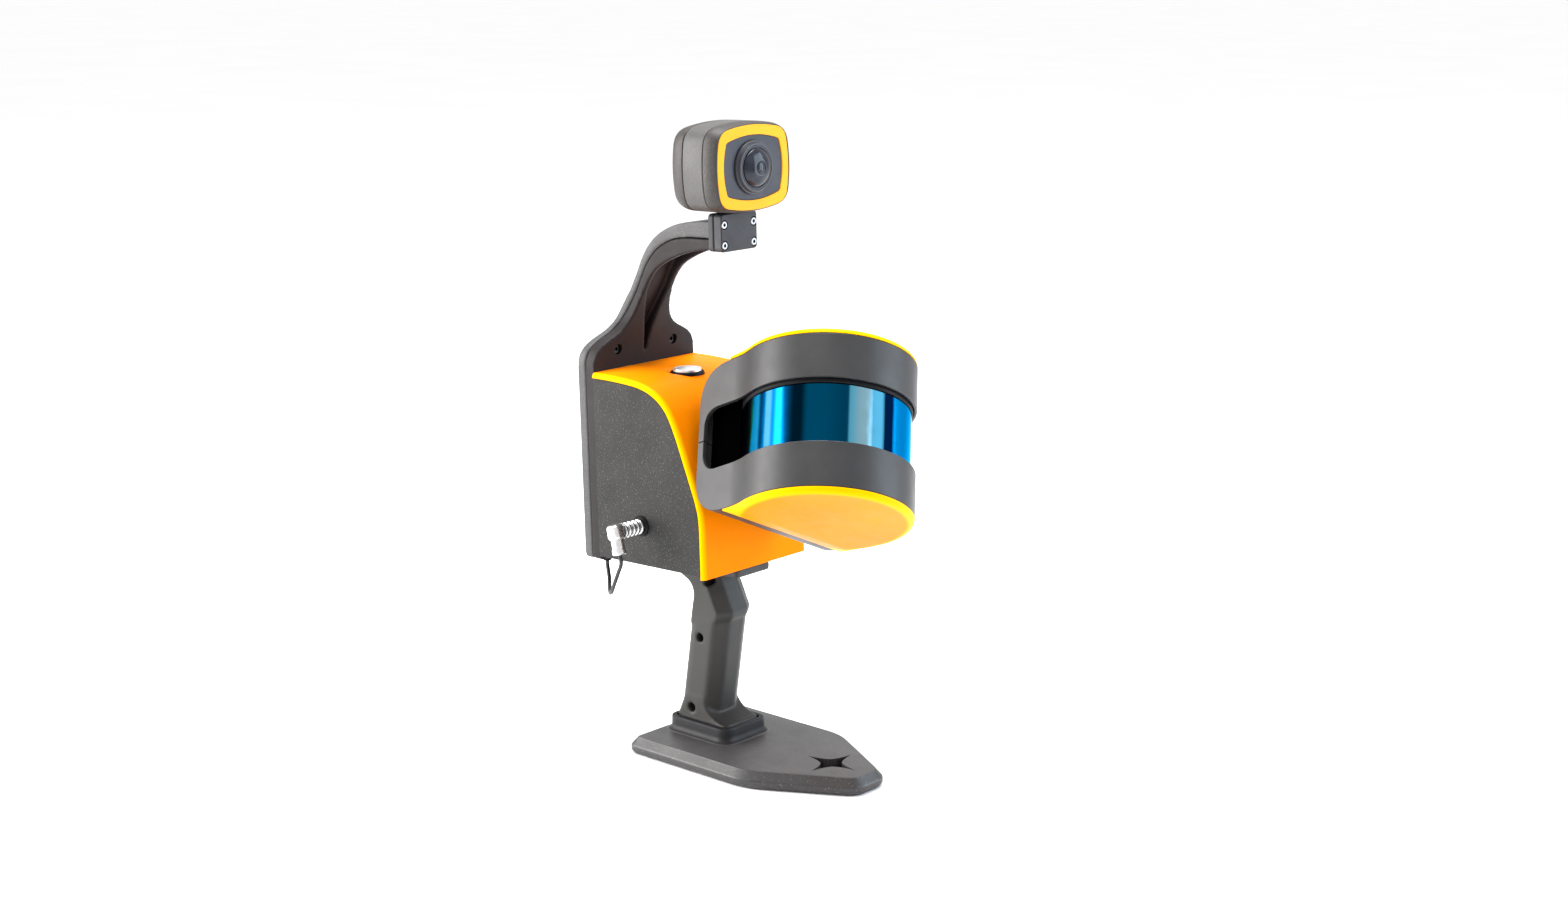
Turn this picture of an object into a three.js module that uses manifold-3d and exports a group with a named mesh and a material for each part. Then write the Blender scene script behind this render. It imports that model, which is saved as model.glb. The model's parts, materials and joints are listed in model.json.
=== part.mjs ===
// Handheld laser scanner with a turning head, standing on its parking base.
// Millimetres, +Z up, the head faces -Y, x = 0 is the plane of symmetry.
// The origin is the middle of the base's underside.
import * as THREE from 'three';
import Module from 'manifold-3d';
import { mergeVertices } from 'three/addons/utils/BufferGeometryUtils.js';

const wasm = await Module();
wasm.setup();

const GAP = 0.3; // clearance between neighbouring pieces
const rad = THREE.MathUtils.degToRad;

// ---- driving dimensions ----------------------------------------------------
const BASE = {
  halfWidth: 48.4, rear: 80.9, taper: -18.5, nose: -79.2, noseHalf: 13.3,
  side: 5.4, thick: 10.6, bevel: 4.8, under: 2,
};
const STAR = { y: -47, tip: 19, waist: 4.6, pinch: 1.3 };
const SOCKET = { halfWidth: 20, front: 22, rear: 72.5, top: 20, wall: 3, radius: 8 };
const FOOT = { clearance: 0.8, bottom: 11, radius: 5.2 };

const PIVOT = { y: 61, z: 122.5 }; // the scanner body leans back about this line
const LEAN = rad(1.7);

const BOX = { halfWidth: 47, front: 14.1, rear: 104.3, bottom: 123, top: 241.4, wall: 3.3 };
const CHEEK = { inner: 44.2, outer: 46.6, bottom: 124.8 };
const COVER = { bottom: 124.4, thick: 3 };
const GRIP = { y: 49.5, z: 60.5, lean: rad(10), halfWidth: 15.7, halfDepth: 13.5 };
const FLANGE = { front: 16.4, rear: 96, bottom: 116.9, top: 122.7 };
const PLATE = { halfWidth: 44.8, bottom: 121.5, front: 104.6, seam: 112.2, rear: 119.5 };
const ARM = { halfWidth: 13, end: 32.3, groove: 7.5 };
const CLAMP = { front: 20.9, seam: 27.45, rear: 32, halfWidth: 16, bottom: 317.7, top: 340.7 };
const CAMERA = { y: 26, z: 368.1, width: 34.3, height: 27.1, depth: 17.9, frame: 8 };
const PORT = { x: -46.6, y: 66.3, z: 149.8, turn: 11, sleeve: 13.6 };
const GLAND = { x: -36, y: 108.4, bottom: 119.6 };
const BUTTON = { y: 68, seat: 236.8, travel: 1 };

const HEAD = {
  y: -44.9, z: 207.9, tilt: rad(20.5), roll: rad(26.3),
  radius: 53.3, side: 48.4, rear: 60.5, height: 47.3, round: 25, wall: 3,
  slot: 19.7, slotRear: 55.5, slotRound: 12,
};
const PUCK = { radius: 51, glass: 50.2, top: 36, glassTop: 17, glassBottom: -19.5 };
const CAP = { rear: 35.5, thick: 3.6, bevel: 4 };
const SPINDLE = { flange: 24, shaft: 9, bore: 5.2, end: 114.1 };
const GEAR = { module: 1.3, wheel: 40, pinion: 10, from: 103.5, to: 109.5 };

// ---- materials -------------------------------------------------------------
function paint(color, roughness, metalness = 0) {
  return new THREE.MeshStandardMaterial({ color, roughness, metalness });
}
const GREY = paint(0x6d6b6a, 0.62);
const SHELL_GREY = paint(0x8a8785, 0.5);
const DARK = paint(0x4b4644, 0.75);
const CHEEK_GREY = paint(0x5c5a58, 0.85);
const ORANGE = paint(0xff9a0c, 0.35);
const YELLOW = paint(0xffcf40, 0.45);
const BLACK = paint(0x0b0b0d, 0.5);
const STEEL = paint(0xc9cbcd, 0.25, 1);
const ALLOY = paint(0x9a9ca0, 0.4, 1);
const BLUE = paint(0x1a5f9c, 0.08, 0.6);
const LENS = paint(0x101820, 0.05, 0.2);
const FACE = paint(0x5f6570, 0.55);
const BOARD = paint(0x1d5a35, 0.6);
const STAND = paint(0x979393, 0.45, 0.5);

// ---- solids ----------------------------------------------------------------
const X = new THREE.Vector3(1, 0, 0);
const Y = new THREE.Vector3(0, 1, 0);
const Z = new THREE.Vector3(0, 0, 1);
const UP = new THREE.Matrix4();
const ACROSS = new THREE.Matrix4().makeBasis(Y, Z, X); // sketch (y, z), run along +X
const FORWARD = new THREE.Matrix4().makeBasis(X, Z, Y.clone().negate()); // sketch (x, z), run along -Y

function solid(geometry) {
  geometry.deleteAttribute('normal');
  geometry.deleteAttribute('uv');
  const merged = mergeVertices(geometry, 1e-4);
  return new wasm.Manifold(new wasm.Mesh({
    numProp: 3,
    vertProperties: new Float32Array(merged.attributes.position.array),
    triVerts: new Uint32Array(merged.index.array),
  }));
}

function geometryOf(body) {
  const mesh = body.getMesh();
  const geometry = new THREE.BufferGeometry();
  geometry.setAttribute('position', new THREE.BufferAttribute(mesh.vertProperties, 3));
  geometry.setIndex(new THREE.BufferAttribute(mesh.triVerts, 1));
  geometry.computeVertexNormals();
  return geometry;
}

const join = (first, ...rest) => rest.reduce((all, body) => all.add(body), first);
const cut = (first, ...rest) => rest.reduce((all, body) => all.subtract(body), first);
const common = (first, ...rest) => rest.reduce((all, body) => all.intersect(body), first);

// A sketch run between two stations, with an optional chamfer at both ends.
function prism(shape, from, to, basis, bevel, segments = 4) {
  const thickness = bevel ? bevel.along : 0;
  const geometry = new THREE.ExtrudeGeometry(shape, {
    depth: to - from - 2 * thickness,
    bevelEnabled: Boolean(bevel),
    bevelThickness: thickness,
    bevelSize: bevel ? bevel.inset : 0,
    bevelOffset: bevel ? -bevel.inset : 0,
    bevelSegments: bevel ? bevel.segments ?? 1 : 1,
    curveSegments: segments,
  });
  geometry.translate(0, 0, from + thickness);
  geometry.applyMatrix4(basis);
  return solid(geometry);
}
const upright = (shape, z0, z1, bevel, n) => prism(shape, z0, z1, UP, bevel, n);
const across = (shape, x0, x1, bevel, n) => prism(shape, x0, x1, ACROSS, bevel, n);
const frontal = (shape, y0, y1, bevel, n) => prism(shape, -y1, -y0, FORWARD, bevel, n);

function box(x0, x1, y0, y1, z0, z1) {
  const geometry = new THREE.BoxGeometry(x1 - x0, y1 - y0, z1 - z0);
  geometry.translate((x0 + x1) / 2, (y0 + y1) / 2, (z0 + z1) / 2);
  return solid(geometry);
}

// A turned piece: profile points [radius, height] about +Z.
function turned(profile, segments = 24) {
  const points = profile.map(([r, h]) => new THREE.Vector2(r, h));
  const geometry = new THREE.LatheGeometry(points, segments);
  geometry.rotateX(Math.PI / 2);
  return solid(geometry);
}
const rod = (radius, z0, z1, n = 20) => turned([[0, z0], [radius, z0], [radius, z1], [0, z1]], n);
const ring = (inner, outer, z0, z1, n = 24) => turned(
  [[inner, z0], [outer, z0], [outer, z1], [inner, z1], [inner, z0]], n);

// Lay a piece made about +Z along another axis.
const alongBack = (body) => body.rotate([-90, 0, 0]); // +Z becomes +Y
const alongFront = (body) => body.rotate([90, 0, 0]); // +Z becomes -Y
const alongLeft = (body) => body.rotate([0, -90, 0]); // +Z becomes -X

// ---- sketches --------------------------------------------------------------
function vectors(points) {
  return points.map(([a, b]) => new THREE.Vector2(a, b));
}

// A closed polygon whose corners [a, b, radius] are rounded where a radius is given.
function outline(corners) {
  const shape = new THREE.Shape();
  const spots = vectors(corners);
  corners.forEach((corner, i) => {
    const here = spots[i];
    const before = spots[(i + spots.length - 1) % spots.length];
    const after = spots[(i + 1) % spots.length];
    const room = 0.48 * Math.min(here.distanceTo(before), here.distanceTo(after));
    const radius = Math.min(corner[2] ?? 0, room);
    const enter = here.clone().add(before.clone().sub(here).setLength(radius));
    const leave = here.clone().add(after.clone().sub(here).setLength(radius));
    if (i === 0) shape.moveTo(enter.x, enter.y);
    else shape.lineTo(enter.x, enter.y);
    if (radius > 0) shape.quadraticCurveTo(here.x, here.y, leave.x, leave.y);
  });
  shape.closePath();
  return shape;
}
const rectangle = (x0, x1, y0, y1, r = 0) => outline(
  [[x0, y0, r], [x1, y0, r], [x1, y1, r], [x0, y1, r]]);

// The same line moved sideways, to its left as it runs.
function shifted(points, distance) {
  const line = vectors(points);
  return line.map((here, i) => {
    const before = line[Math.max(i - 1, 0)];
    const after = line[Math.min(i + 1, line.length - 1)];
    const into = i > 0 ? here.clone().sub(before).normalize() : after.clone().sub(here).normalize();
    const out = i < line.length - 1 ? after.clone().sub(here).normalize() : into;
    const normal = new THREE.Vector2(-into.y - out.y, into.x + out.x).normalize();
    const reach = distance / Math.max(normal.dot(new THREE.Vector2(-into.y, into.x)), 0.3);
    return [here.x + normal.x * reach, here.y + normal.y * reach];
  });
}

function smoothLine(points, steps) {
  return new THREE.SplineCurve(vectors(points)).getSpacedPoints(steps).map((p) => [p.x, p.y]);
}

const mirrored = (half) => [...half, ...half.map(([x, z, r]) => [-x, z, r]).reverse()];

// A frame with bowed sides: its corners lie in from a and b.
function bowed(a, b, radius) {
  const [x, z] = [a - 2.8, b - 3.6];
  const quarter = [
    [a, z * 0.15], [a - 0.57, z * 0.45], [x, z, radius], [x * 0.45, b - 0.73], [x * 0.15, b],
  ];
  const half = [...quarter, ...quarter.map(([u, v, r]) => [-u, v, r]).reverse()];
  return outline([...half, ...half.map(([u, v, r]) => [u, -v, r]).reverse()]);
}

// ---- scene graph -----------------------------------------------------------
const group = new THREE.Group();
const leaning = new THREE.Group(); // everything the handle carries
leaning.position.set(0, PIVOT.y, PIVOT.z);
leaning.rotation.x = -LEAN;
const scanner = new THREE.Group();
scanner.position.set(0, -PIVOT.y, -PIVOT.z);
leaning.add(scanner);
group.add(leaning);

const axisFrame = new THREE.Group(); // +Y runs from the head's middle back along its axis
axisFrame.position.set(0, HEAD.y, HEAD.z);
axisFrame.rotation.x = -HEAD.tilt;
const headFrame = new THREE.Group(); // the same, turned with the head; +Z is the puck's axis
headFrame.rotation.y = HEAD.roll;
axisFrame.add(headFrame);
scanner.add(axisFrame);

function node(name, body, material, parent = scanner) {
  const mesh = new THREE.Mesh(geometryOf(body), material);
  mesh.name = name;
  parent.add(mesh);
}

// ---- base ------------------------------------------------------------------
function starShape() {
  const points = [];
  for (let quarter = 0; quarter < 4; quarter += 1) {
    const turn = quarter * Math.PI / 2;
    const spot = (r, a) => new THREE.Vector2(r, 0).rotateAround(new THREE.Vector2(), turn + a);
    const waist = Math.SQRT2 * STAR.waist;
    const flank = Math.hypot(STAR.waist * 1.35, STAR.pinch);
    const flankAngle = Math.atan2(STAR.pinch, STAR.waist * 1.35);
    points.push(spot(STAR.tip, 0));
    points.push(spot(flank * 1.25, flankAngle));
    points.push(spot(waist, Math.PI / 4));
    points.push(spot(flank * 1.25, Math.PI / 2 - flankAngle));
  }
  return new THREE.Shape(points.map((p) => p.add(new THREE.Vector2(0, STAR.y))));
}

function makeBase() {
  const plan = outline([
    [BASE.halfWidth, BASE.rear, 8], [-BASE.halfWidth, BASE.rear, 8],
    [-BASE.halfWidth, BASE.taper, 12], [-BASE.noseHalf, BASE.nose, 8],
    [BASE.noseHalf, BASE.nose, 8], [BASE.halfWidth, BASE.taper, 12],
  ]);
  const rise = BASE.thick - BASE.side;
  const slab = common(
    upright(plan, -rise - 1, BASE.thick, { along: rise, inset: BASE.bevel }),
    upright(plan, 0, 30, { along: BASE.under, inset: BASE.under }));
  const { halfWidth, front, rear, top, wall, radius } = SOCKET;
  const skirt = upright(rectangle(-halfWidth - 2, halfWidth + 2, front - 2, rear + 2, radius + 2),
    BASE.thick - 3, BASE.thick + 2, { along: 2, inset: 2 });
  const collar = upright(rectangle(-halfWidth, halfWidth, front, rear, radius),
    BASE.thick - 3, top, { along: 1, inset: 1 });
  const pocket = upright(
    rectangle(-halfWidth + wall, halfWidth - wall, front + wall, rear - wall, radius - wall),
    BASE.thick, top + 5);
  const star = upright(starShape(), -5, BASE.thick + 5);
  node('base_plate', cut(join(slab, skirt, collar), pocket, star), STAND, group);
}

// ---- handle ----------------------------------------------------------------
const HANDLE_SCREWS = [['top', 42.6, 111.4], ['middle', 49.7, 74.1], ['bottom', 58.5, 26.8]];
const HANDLE_BOLTS = [['left', -9], ['right', 9]];
const BOLT_Y = 50;

function gripBody() {
  const { halfWidth: w, halfDepth: d } = GRIP;
  const section = outline([
    [-7.2, -d, 2], [7.2, -d, 2], [w, 6 - d, 2], [w, d, 7], [-w, d, 7], [-w, 6 - d, 2],
  ]);
  return upright(section, -46, 27).rotate([GRIP.lean * 180 / Math.PI, 0, 0])
    .translate([0, GRIP.y, GRIP.z]);
}

// The neck swells into a finger bump and runs back above it, its front corners cut off.
const NECK_FRONT = [
  [81, 34.6], [88, 29.4], [91.5, 28.3], [94.5, 29.8], [103, 33.5], [107.3, 35.6], [113, 37.6],
  [120, 38.6],
];

function neckBody() {
  const w = GRIP.halfWidth;
  const rings = NECK_FRONT.map(([z, y]) => [
    [-7, y], [7, y], [w - 0.1, y + 6], [w - 0.1, 76], [0.1 - w, 76], [0.1 - w, y + 6],
  ].map(([a, b]) => [a, b, z]));
  const steps = rings.slice(1).map((points, i) => wasm.Manifold.hull([...rings[i], ...points]));
  const profile = outline([
    [20, 81], [59.4, 81], [57, 95], [55.3, 102, 5], [57.5, 108, 5], [67, 112.6, 5], [74, 120],
    [20, 120],
  ]);
  return common(join(...steps), across(profile, -w, w, { along: 3, inset: 2 }));
}

// The foot stands square in the socket, so it is turned against the body's lean.
function footBody() {
  const inset = SOCKET.wall + FOOT.clearance;
  const x = SOCKET.halfWidth - inset;
  const [y0, y1] = [SOCKET.front + inset, SOCKET.rear - inset];
  const block = upright(rectangle(-x, x, y0, y1, FOOT.radius), FOOT.bottom, 21,
    { along: 0.6, inset: 0.6 });
  const flare = across(outline([
    [y0 + 0.6, 20.2], [y0 + 9.5, 22.6, 4], [y0 + 14.8, 25.8, 4], [y0 + 18, 30], [y0 + 18.5, 36],
    [y1 - 7.5, 36], [y1 - 2, 23.5], [y1 - 0.6, 20.2],
  ]), 0.25 - x, x - 0.25, { along: 2.5, inset: 0.4 });
  return join(block, flare)
    .translate([0, -PIVOT.y, -PIVOT.z]).rotate([LEAN * 180 / Math.PI, 0, 0])
    .translate([0, PIVOT.y, PIVOT.z]);
}

function makeHandle() {
  const w = GRIP.halfWidth;
  const flange = join(
    across(rectangle(FLANGE.front, FLANGE.rear, FLANGE.bottom, FLANGE.top, 1.5), -w, w,
      { along: 1.2, inset: 1 }),
    box(1 - w, w - 1, BOX.front + BOX.wall + GAP, FLANGE.rear - 1, FLANGE.bottom + 2, COVER.bottom - GAP));
  let body = join(gripBody(), neckBody(), footBody(), flange);
  for (const [, y, z] of HANDLE_SCREWS) {
    body = cut(body,
      alongLeft(rod(2.9, 6, 30, 14)).translate([0, y, z]),
      alongLeft(rod(1.7, -9, 30, 8)).translate([0, y, z]));
  }
  for (const [, x] of HANDLE_BOLTS) {
    body = cut(body, rod(2.3, 104, 130, 10).translate([x, BOLT_Y, 0]));
  }
  node('handle_shell_left', common(body, box(-60, -GAP / 2, -50, 150, 0, 130)), GREY);
  node('handle_shell_right', common(body, box(GAP / 2, 60, -50, 150, 0, 130)), GREY);

  for (const [place, y, z] of HANDLE_SCREWS) {
    const screw = cut(
      turned([[0, -8], [1.4, -8], [1.4, 6.3], [2.5, 6.3], [2.5, 8.8], [0, 8.8]], 12),
      rod(1.2, 7.4, 10, 6));
    node(`handle_screw_${place}`, alongLeft(screw).translate([0, y, z]), STEEL);
  }
  const top = COVER.bottom + COVER.thick;
  for (const [place, x] of HANDLE_BOLTS) {
    const bolt = turned([[0, 105], [2, 105], [2, top], [3.6, top], [3.6, top + 3], [0, top + 3]], 12);
    const recess = rod(1.7, top + 1.2, top + 5, 6);
    node(`handle_bolt_${place}`, cut(bolt, recess).translate([x, BOLT_Y, 0]), STEEL);
  }
}

// ---- main box --------------------------------------------------------------
const BOX_RIM = [
  [BOX.rear, BOX.top], [84, 240.8], [65.6, 239.3], [54.6, 236.2], [45.6, 230.9], [39.6, 225],
  [35.8, 220], [BOX.front, 164], [BOX.front, BOX.bottom],
];

// Everything inside the rim by a distance, open past the rear and the bottom.
function insideRim(distance, bottom, rear) {
  const line = shifted(BOX_RIM, distance);
  const corner = [BOX.rear, line[0][1]];
  const beyond = rear > BOX.rear ? [[rear, corner[1]]] : [];
  const last = [line[line.length - 1][0], bottom];
  return [...beyond, corner, ...line.slice(1, -1), last, [rear, bottom]];
}

function alongHeadAxis(body) {
  return alongBack(body).rotate([-HEAD.tilt * 180 / Math.PI, 0, 0]).translate([0, HEAD.y, HEAD.z]);
}

function makeBox() {
  const w = BOX.halfWidth;
  const past = [[BOX.front, BOX.bottom - 9], [BOX.rear + 9, BOX.bottom - 9], [BOX.rear + 9, BOX.top]];
  const blank = across(outline([...BOX_RIM.slice(0, -1), ...past]), -w, w,
    { along: 2.4, inset: 2.4, segments: 2 });
  const outer = common(blank, box(-60, 60, 0, BOX.rear, BOX.bottom, 260));
  const hollow = across(outline(insideRim(BOX.wall, 60, 130)), -60, 60);
  const boss = rod(11.4, 231, BUTTON.seat, 28).translate([0, BUTTON.y, 0]);
  const shell = cut(join(cut(outer, hollow), boss),
    alongHeadAxis(rod(17.3, 60, 100, 28)),
    rod(7.3, 220, 260, 16).translate([0, BUTTON.y, 0]),
    rod(10.9, BUTTON.seat, 260, 28).translate([0, BUTTON.y, 0]));
  node('body_shell', shell, ORANGE);

  const cheekLine = outline(insideRim(BOX.wall + GAP, CHEEK.bottom, BOX.rear));
  const left = across(cheekLine, -CHEEK.outer, -CHEEK.inner);
  const portHole = alongLeft(rod(4.9, 30, 60, 24)).translate([0, PORT.y, PORT.z]);
  node('cheek_left', cut(left, portHole), CHEEK_GREY);
  node('cheek_right', across(cheekLine, CHEEK.inner, CHEEK.outer), CHEEK_GREY);

  const side = CHEEK.inner - GAP;
  let cover = box(-side, side, BOX.front + BOX.wall + GAP, BOX.rear,
    COVER.bottom, COVER.bottom + COVER.thick);
  for (const [, x] of HANDLE_BOLTS) {
    cover = cut(cover, rod(2.3, 100, 140, 12).translate([x, BOLT_Y, 0]));
  }
  node('bottom_cover', cover, DARK);
}

function makeButton() {
  const floor = BUTTON.seat + GAP;
  const bezel = turned([
    [4.3, floor - 6], [7, floor - 6], [7, floor], [10.6, floor], [10.6, floor + 3],
    [9.4, floor + 3.3], [9.4, floor + 1.2], [4.3, floor + 1.2], [4.3, floor - 6],
  ], 28);
  node('button_bezel', bezel.translate([0, BUTTON.y, 0]), ORANGE);
  const rest = floor + 1.2 + BUTTON.travel + 0.2;
  const cap = turned([
    [0, floor - 4], [3.9, floor - 4], [3.9, rest], [8.8, rest], [9, rest + 1.6],
    [8.2, rest + 2.1], [5, rest + 2.6], [0, rest + 2.9],
  ], 28);
  node('power_button', cap.translate([0, BUTTON.y, 0]), STEEL);
}

// ---- rear plate and arm ----------------------------------------------------
const REAR_LINE = [
  [PLATE.rear, PLATE.bottom], [PLATE.rear, 238], [PLATE.rear, 250], [117.4, 260], [113, 269],
  [108.6, 280], [102.8, 290.2], [96.6, 301.4], [91.2, 311.6], [84.6, 320], [75.2, 327],
  [63.2, 332], [48, 334.8], [ARM.end, 336],
];
const SEAM_LINE = [
  [PLATE.seam, PLATE.bottom], [PLATE.seam, 238], [PLATE.seam, 250], [110.8, 260], [107, 269.5],
  [102, 280], [94.3, 295], [87.5, 307], [79, 316], [67.5, 322], [56, 324.4], [ARM.end, 325],
];
const FRONT_LINE = [
  [PLATE.front, PLATE.bottom], [PLATE.front, 236], [PLATE.front, 243], [103.2, 253.5],
  [100.8, 263], [97.6, 273], [94.2, 281.4], [90.2, 290], [85.6, 297.6], [80, 303.6], [72, 308.4],
  [59, 313.6],
  [45, 317], [ARM.end, 318.3],
];
const ARM_SCREWS = [['left', -24.6], ['right', 24.6]];
const ARM_SCREW_Z = 253.3;

// Straight up the plate, then a smooth run along the arm.
function bentLine(points) {
  return [points[0], points[1], ...smoothLine(points.slice(2), 16)];
}

function band(inner, outer) {
  return outline([...inner, ...[...outer].reverse()]);
}

function makeArm() {
  const silhouette = frontal(outline(mirrored([
    [PLATE.halfWidth, PLATE.bottom, 3], [PLATE.halfWidth, 248, 4], [41.6, 255, 4],
    [34, 260, 4], [24.6, 264, 4], [18.4, 270, 4], [15, 278, 4], [ARM.halfWidth, 290, 5],
    [ARM.halfWidth, 345],
  ])), 20, 140, undefined, 3);
  const rear = bentLine(REAR_LINE);
  const seam = bentLine(SEAM_LINE);
  const front = bentLine(FRONT_LINE);
  const back = common(across(band(shifted(seam, -GAP / 2), rear), -60, 60), silhouette);
  const face = common(across(band(front, shifted(seam, GAP / 2)), -60, 60), silhouette);

  const floor = shifted(seam, 1.8);
  const mouth = shifted(front, 6);
  const w = ARM.groove;
  const wedge = frontal(outline(mirrored([[0.4, 249], [2.2, 262], [5, 275], [w, 288], [w, 360]])),
    40, 140);
  const groove = common(across(band(mouth, floor), -20, 20), wedge);
  let holes = alongBack(rod(3.3, 100, PLATE.front + 3, 14));
  holes = join(holes, alongBack(rod(1.7, 100, 117.6, 8)));
  const drills = ARM_SCREWS.map(([, x]) => holes.translate([x, 0, ARM_SCREW_Z]));
  const entry = rod(3.3, 110, 126, 14).translate([GLAND.x, GLAND.y, 0]);
  node('arm_front_shell', cut(face, groove, entry, ...drills), DARK);
  node('arm_rear_shell', cut(back, ...drills), GREY);

  const head = PLATE.front + 0.5;
  for (const [place, x] of ARM_SCREWS) {
    const screw = cut(
      turned([[0, head], [2.6, head], [2.9, head + 0.5], [2.9, head + 2.2], [1.4, head + 2.2],
        [1.4, 117], [0, 117]], 12),
      rod(1.3, head - 1, head + 1.3, 6));
    node(`arm_screw_${place}`, alongBack(screw).translate([x, 0, ARM_SCREW_Z]), BLACK);
  }
}

// ---- camera clamp ----------------------------------------------------------
const CLAMP_SCREWS = [
  ['top_left', -13, 334.2], ['top_right', 13, 334.2],
  ['bottom_left', -13, 321.8], ['bottom_right', 13, 321.8],
];

function makeClamp() {
  const { halfWidth: w, bottom, top, front, seam, rear } = CLAMP;
  const block = rectangle(-w, w, bottom, top, 2.5);
  const post = rod(3.5, 322, 350, 24).translate([0, seam, 0]);
  const drills = CLAMP_SCREWS.map(([, x, z]) => join(
    alongBack(rod(2.9, front - 5, front + 3.2, 14)),
    alongBack(rod(1.7, front - 5, rear + 5, 8))).translate([x, 0, z]));
  node('clamp_front', cut(frontal(block, front, seam - GAP / 2), post, ...drills), GREY);
  node('clamp_rear', cut(frontal(block, seam + GAP / 2, rear), post, ...drills), GREY);
  for (const [place, x, z] of CLAMP_SCREWS) {
    const screw = cut(
      turned([[0, front], [2.1, front], [2.4, front + 0.4], [2.4, front + 2.9], [1.4, front + 2.9],
        [1.4, rear - 0.4], [0, rear - 0.4]], 12),
      rod(1.3, front - 1, front + 1.6, 6));
    node(`clamp_screw_${place}`, alongBack(screw).translate([x, 0, z]), STEEL);
  }
  node('camera_post', rod(3.2, 323, top + 0.1, 24).translate([0, seam, 0]), DARK);
}

// ---- panoramic camera ------------------------------------------------------
// Each half is made about its own middle and facing -Y; the rear half is turned round.
function cameraHalf(place, facing) {
  const { width: a, height: b, depth, frame } = CAMERA;
  const put = (body) => body.rotate([0, 0, facing]).translate([0, CAMERA.y, CAMERA.z]);
  const seam = -frame - GAP / 2;
  const floor = -depth + 2.1; // of the pocket that the ring sits in
  const blank = frontal(bowed(a, b, 9), -depth, depth, { along: 6, inset: 1.7 });
  const shell = common(blank, box(-60, 60, -depth, seam, -60, 60));
  const well = frontal(bowed(a - 5, b - 5, 6), seam - 5, 0);
  const pocket = frontal(bowed(a - 2.6, b - 1.6, 7), -depth - 5, floor);
  node(`camera_shell_${place}`, put(cut(shell, well, pocket)), GREY);

  const trim = frontal(bowed(a - 2.9, b - 1.9, 7), -depth, floor - GAP);
  const opening = frontal(bowed(a - 8.3, b - 7.7, 2), -depth - 5, 0);
  node(`camera_ring_${place}`, put(cut(trim, opening)), YELLOW);
  const plate = frontal(bowed(a - 8.6, b - 8, 2), -depth + 0.7, floor - GAP);
  node(`camera_face_${place}`, put(plate), FACE);

  const base = depth - 0.4; // distances grow outwards from here
  const barrel = turned([
    [0, base], [17, base], [16.2, base + 2], [14.8, base + 4.4], [12.4, base + 4.4],
    [12.1, base + 2.6], [0, base + 2.6],
  ], 28);
  node(`lens_barrel_${place}`, put(alongFront(barrel)), BLACK);
  const dome = [[0, base + 2.9], [11.6, base + 2.9]];
  for (let i = 1; i <= 4; i += 1) {
    const angle = (i / 4) * Math.PI / 2;
    dome.push([11.6 * Math.cos(angle), base + 2.9 + 4.6 * Math.sin(angle)]);
  }
  dome[dome.length - 1][0] = 0;
  node(`lens_dome_${place}`, put(alongFront(turned(dome, 24))), LENS);
}

function makeCamera() {
  const { width: a, height: b, frame } = CAMERA;
  const hoop = cut(frontal(bowed(a, b, 9), -frame, frame),
    frontal(bowed(a - 2.8, b - 2.8, 7), -frame - 5, frame + 5));
  node('camera_frame', hoop.translate([0, CAMERA.y, CAMERA.z]), DARK);
  node('camera_board', box(-24, 24, -7, 7, -17, 17).translate([0, CAMERA.y, CAMERA.z]), BOARD);
  cameraHalf('front', 0);
  cameraHalf('rear', 180);
}

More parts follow.
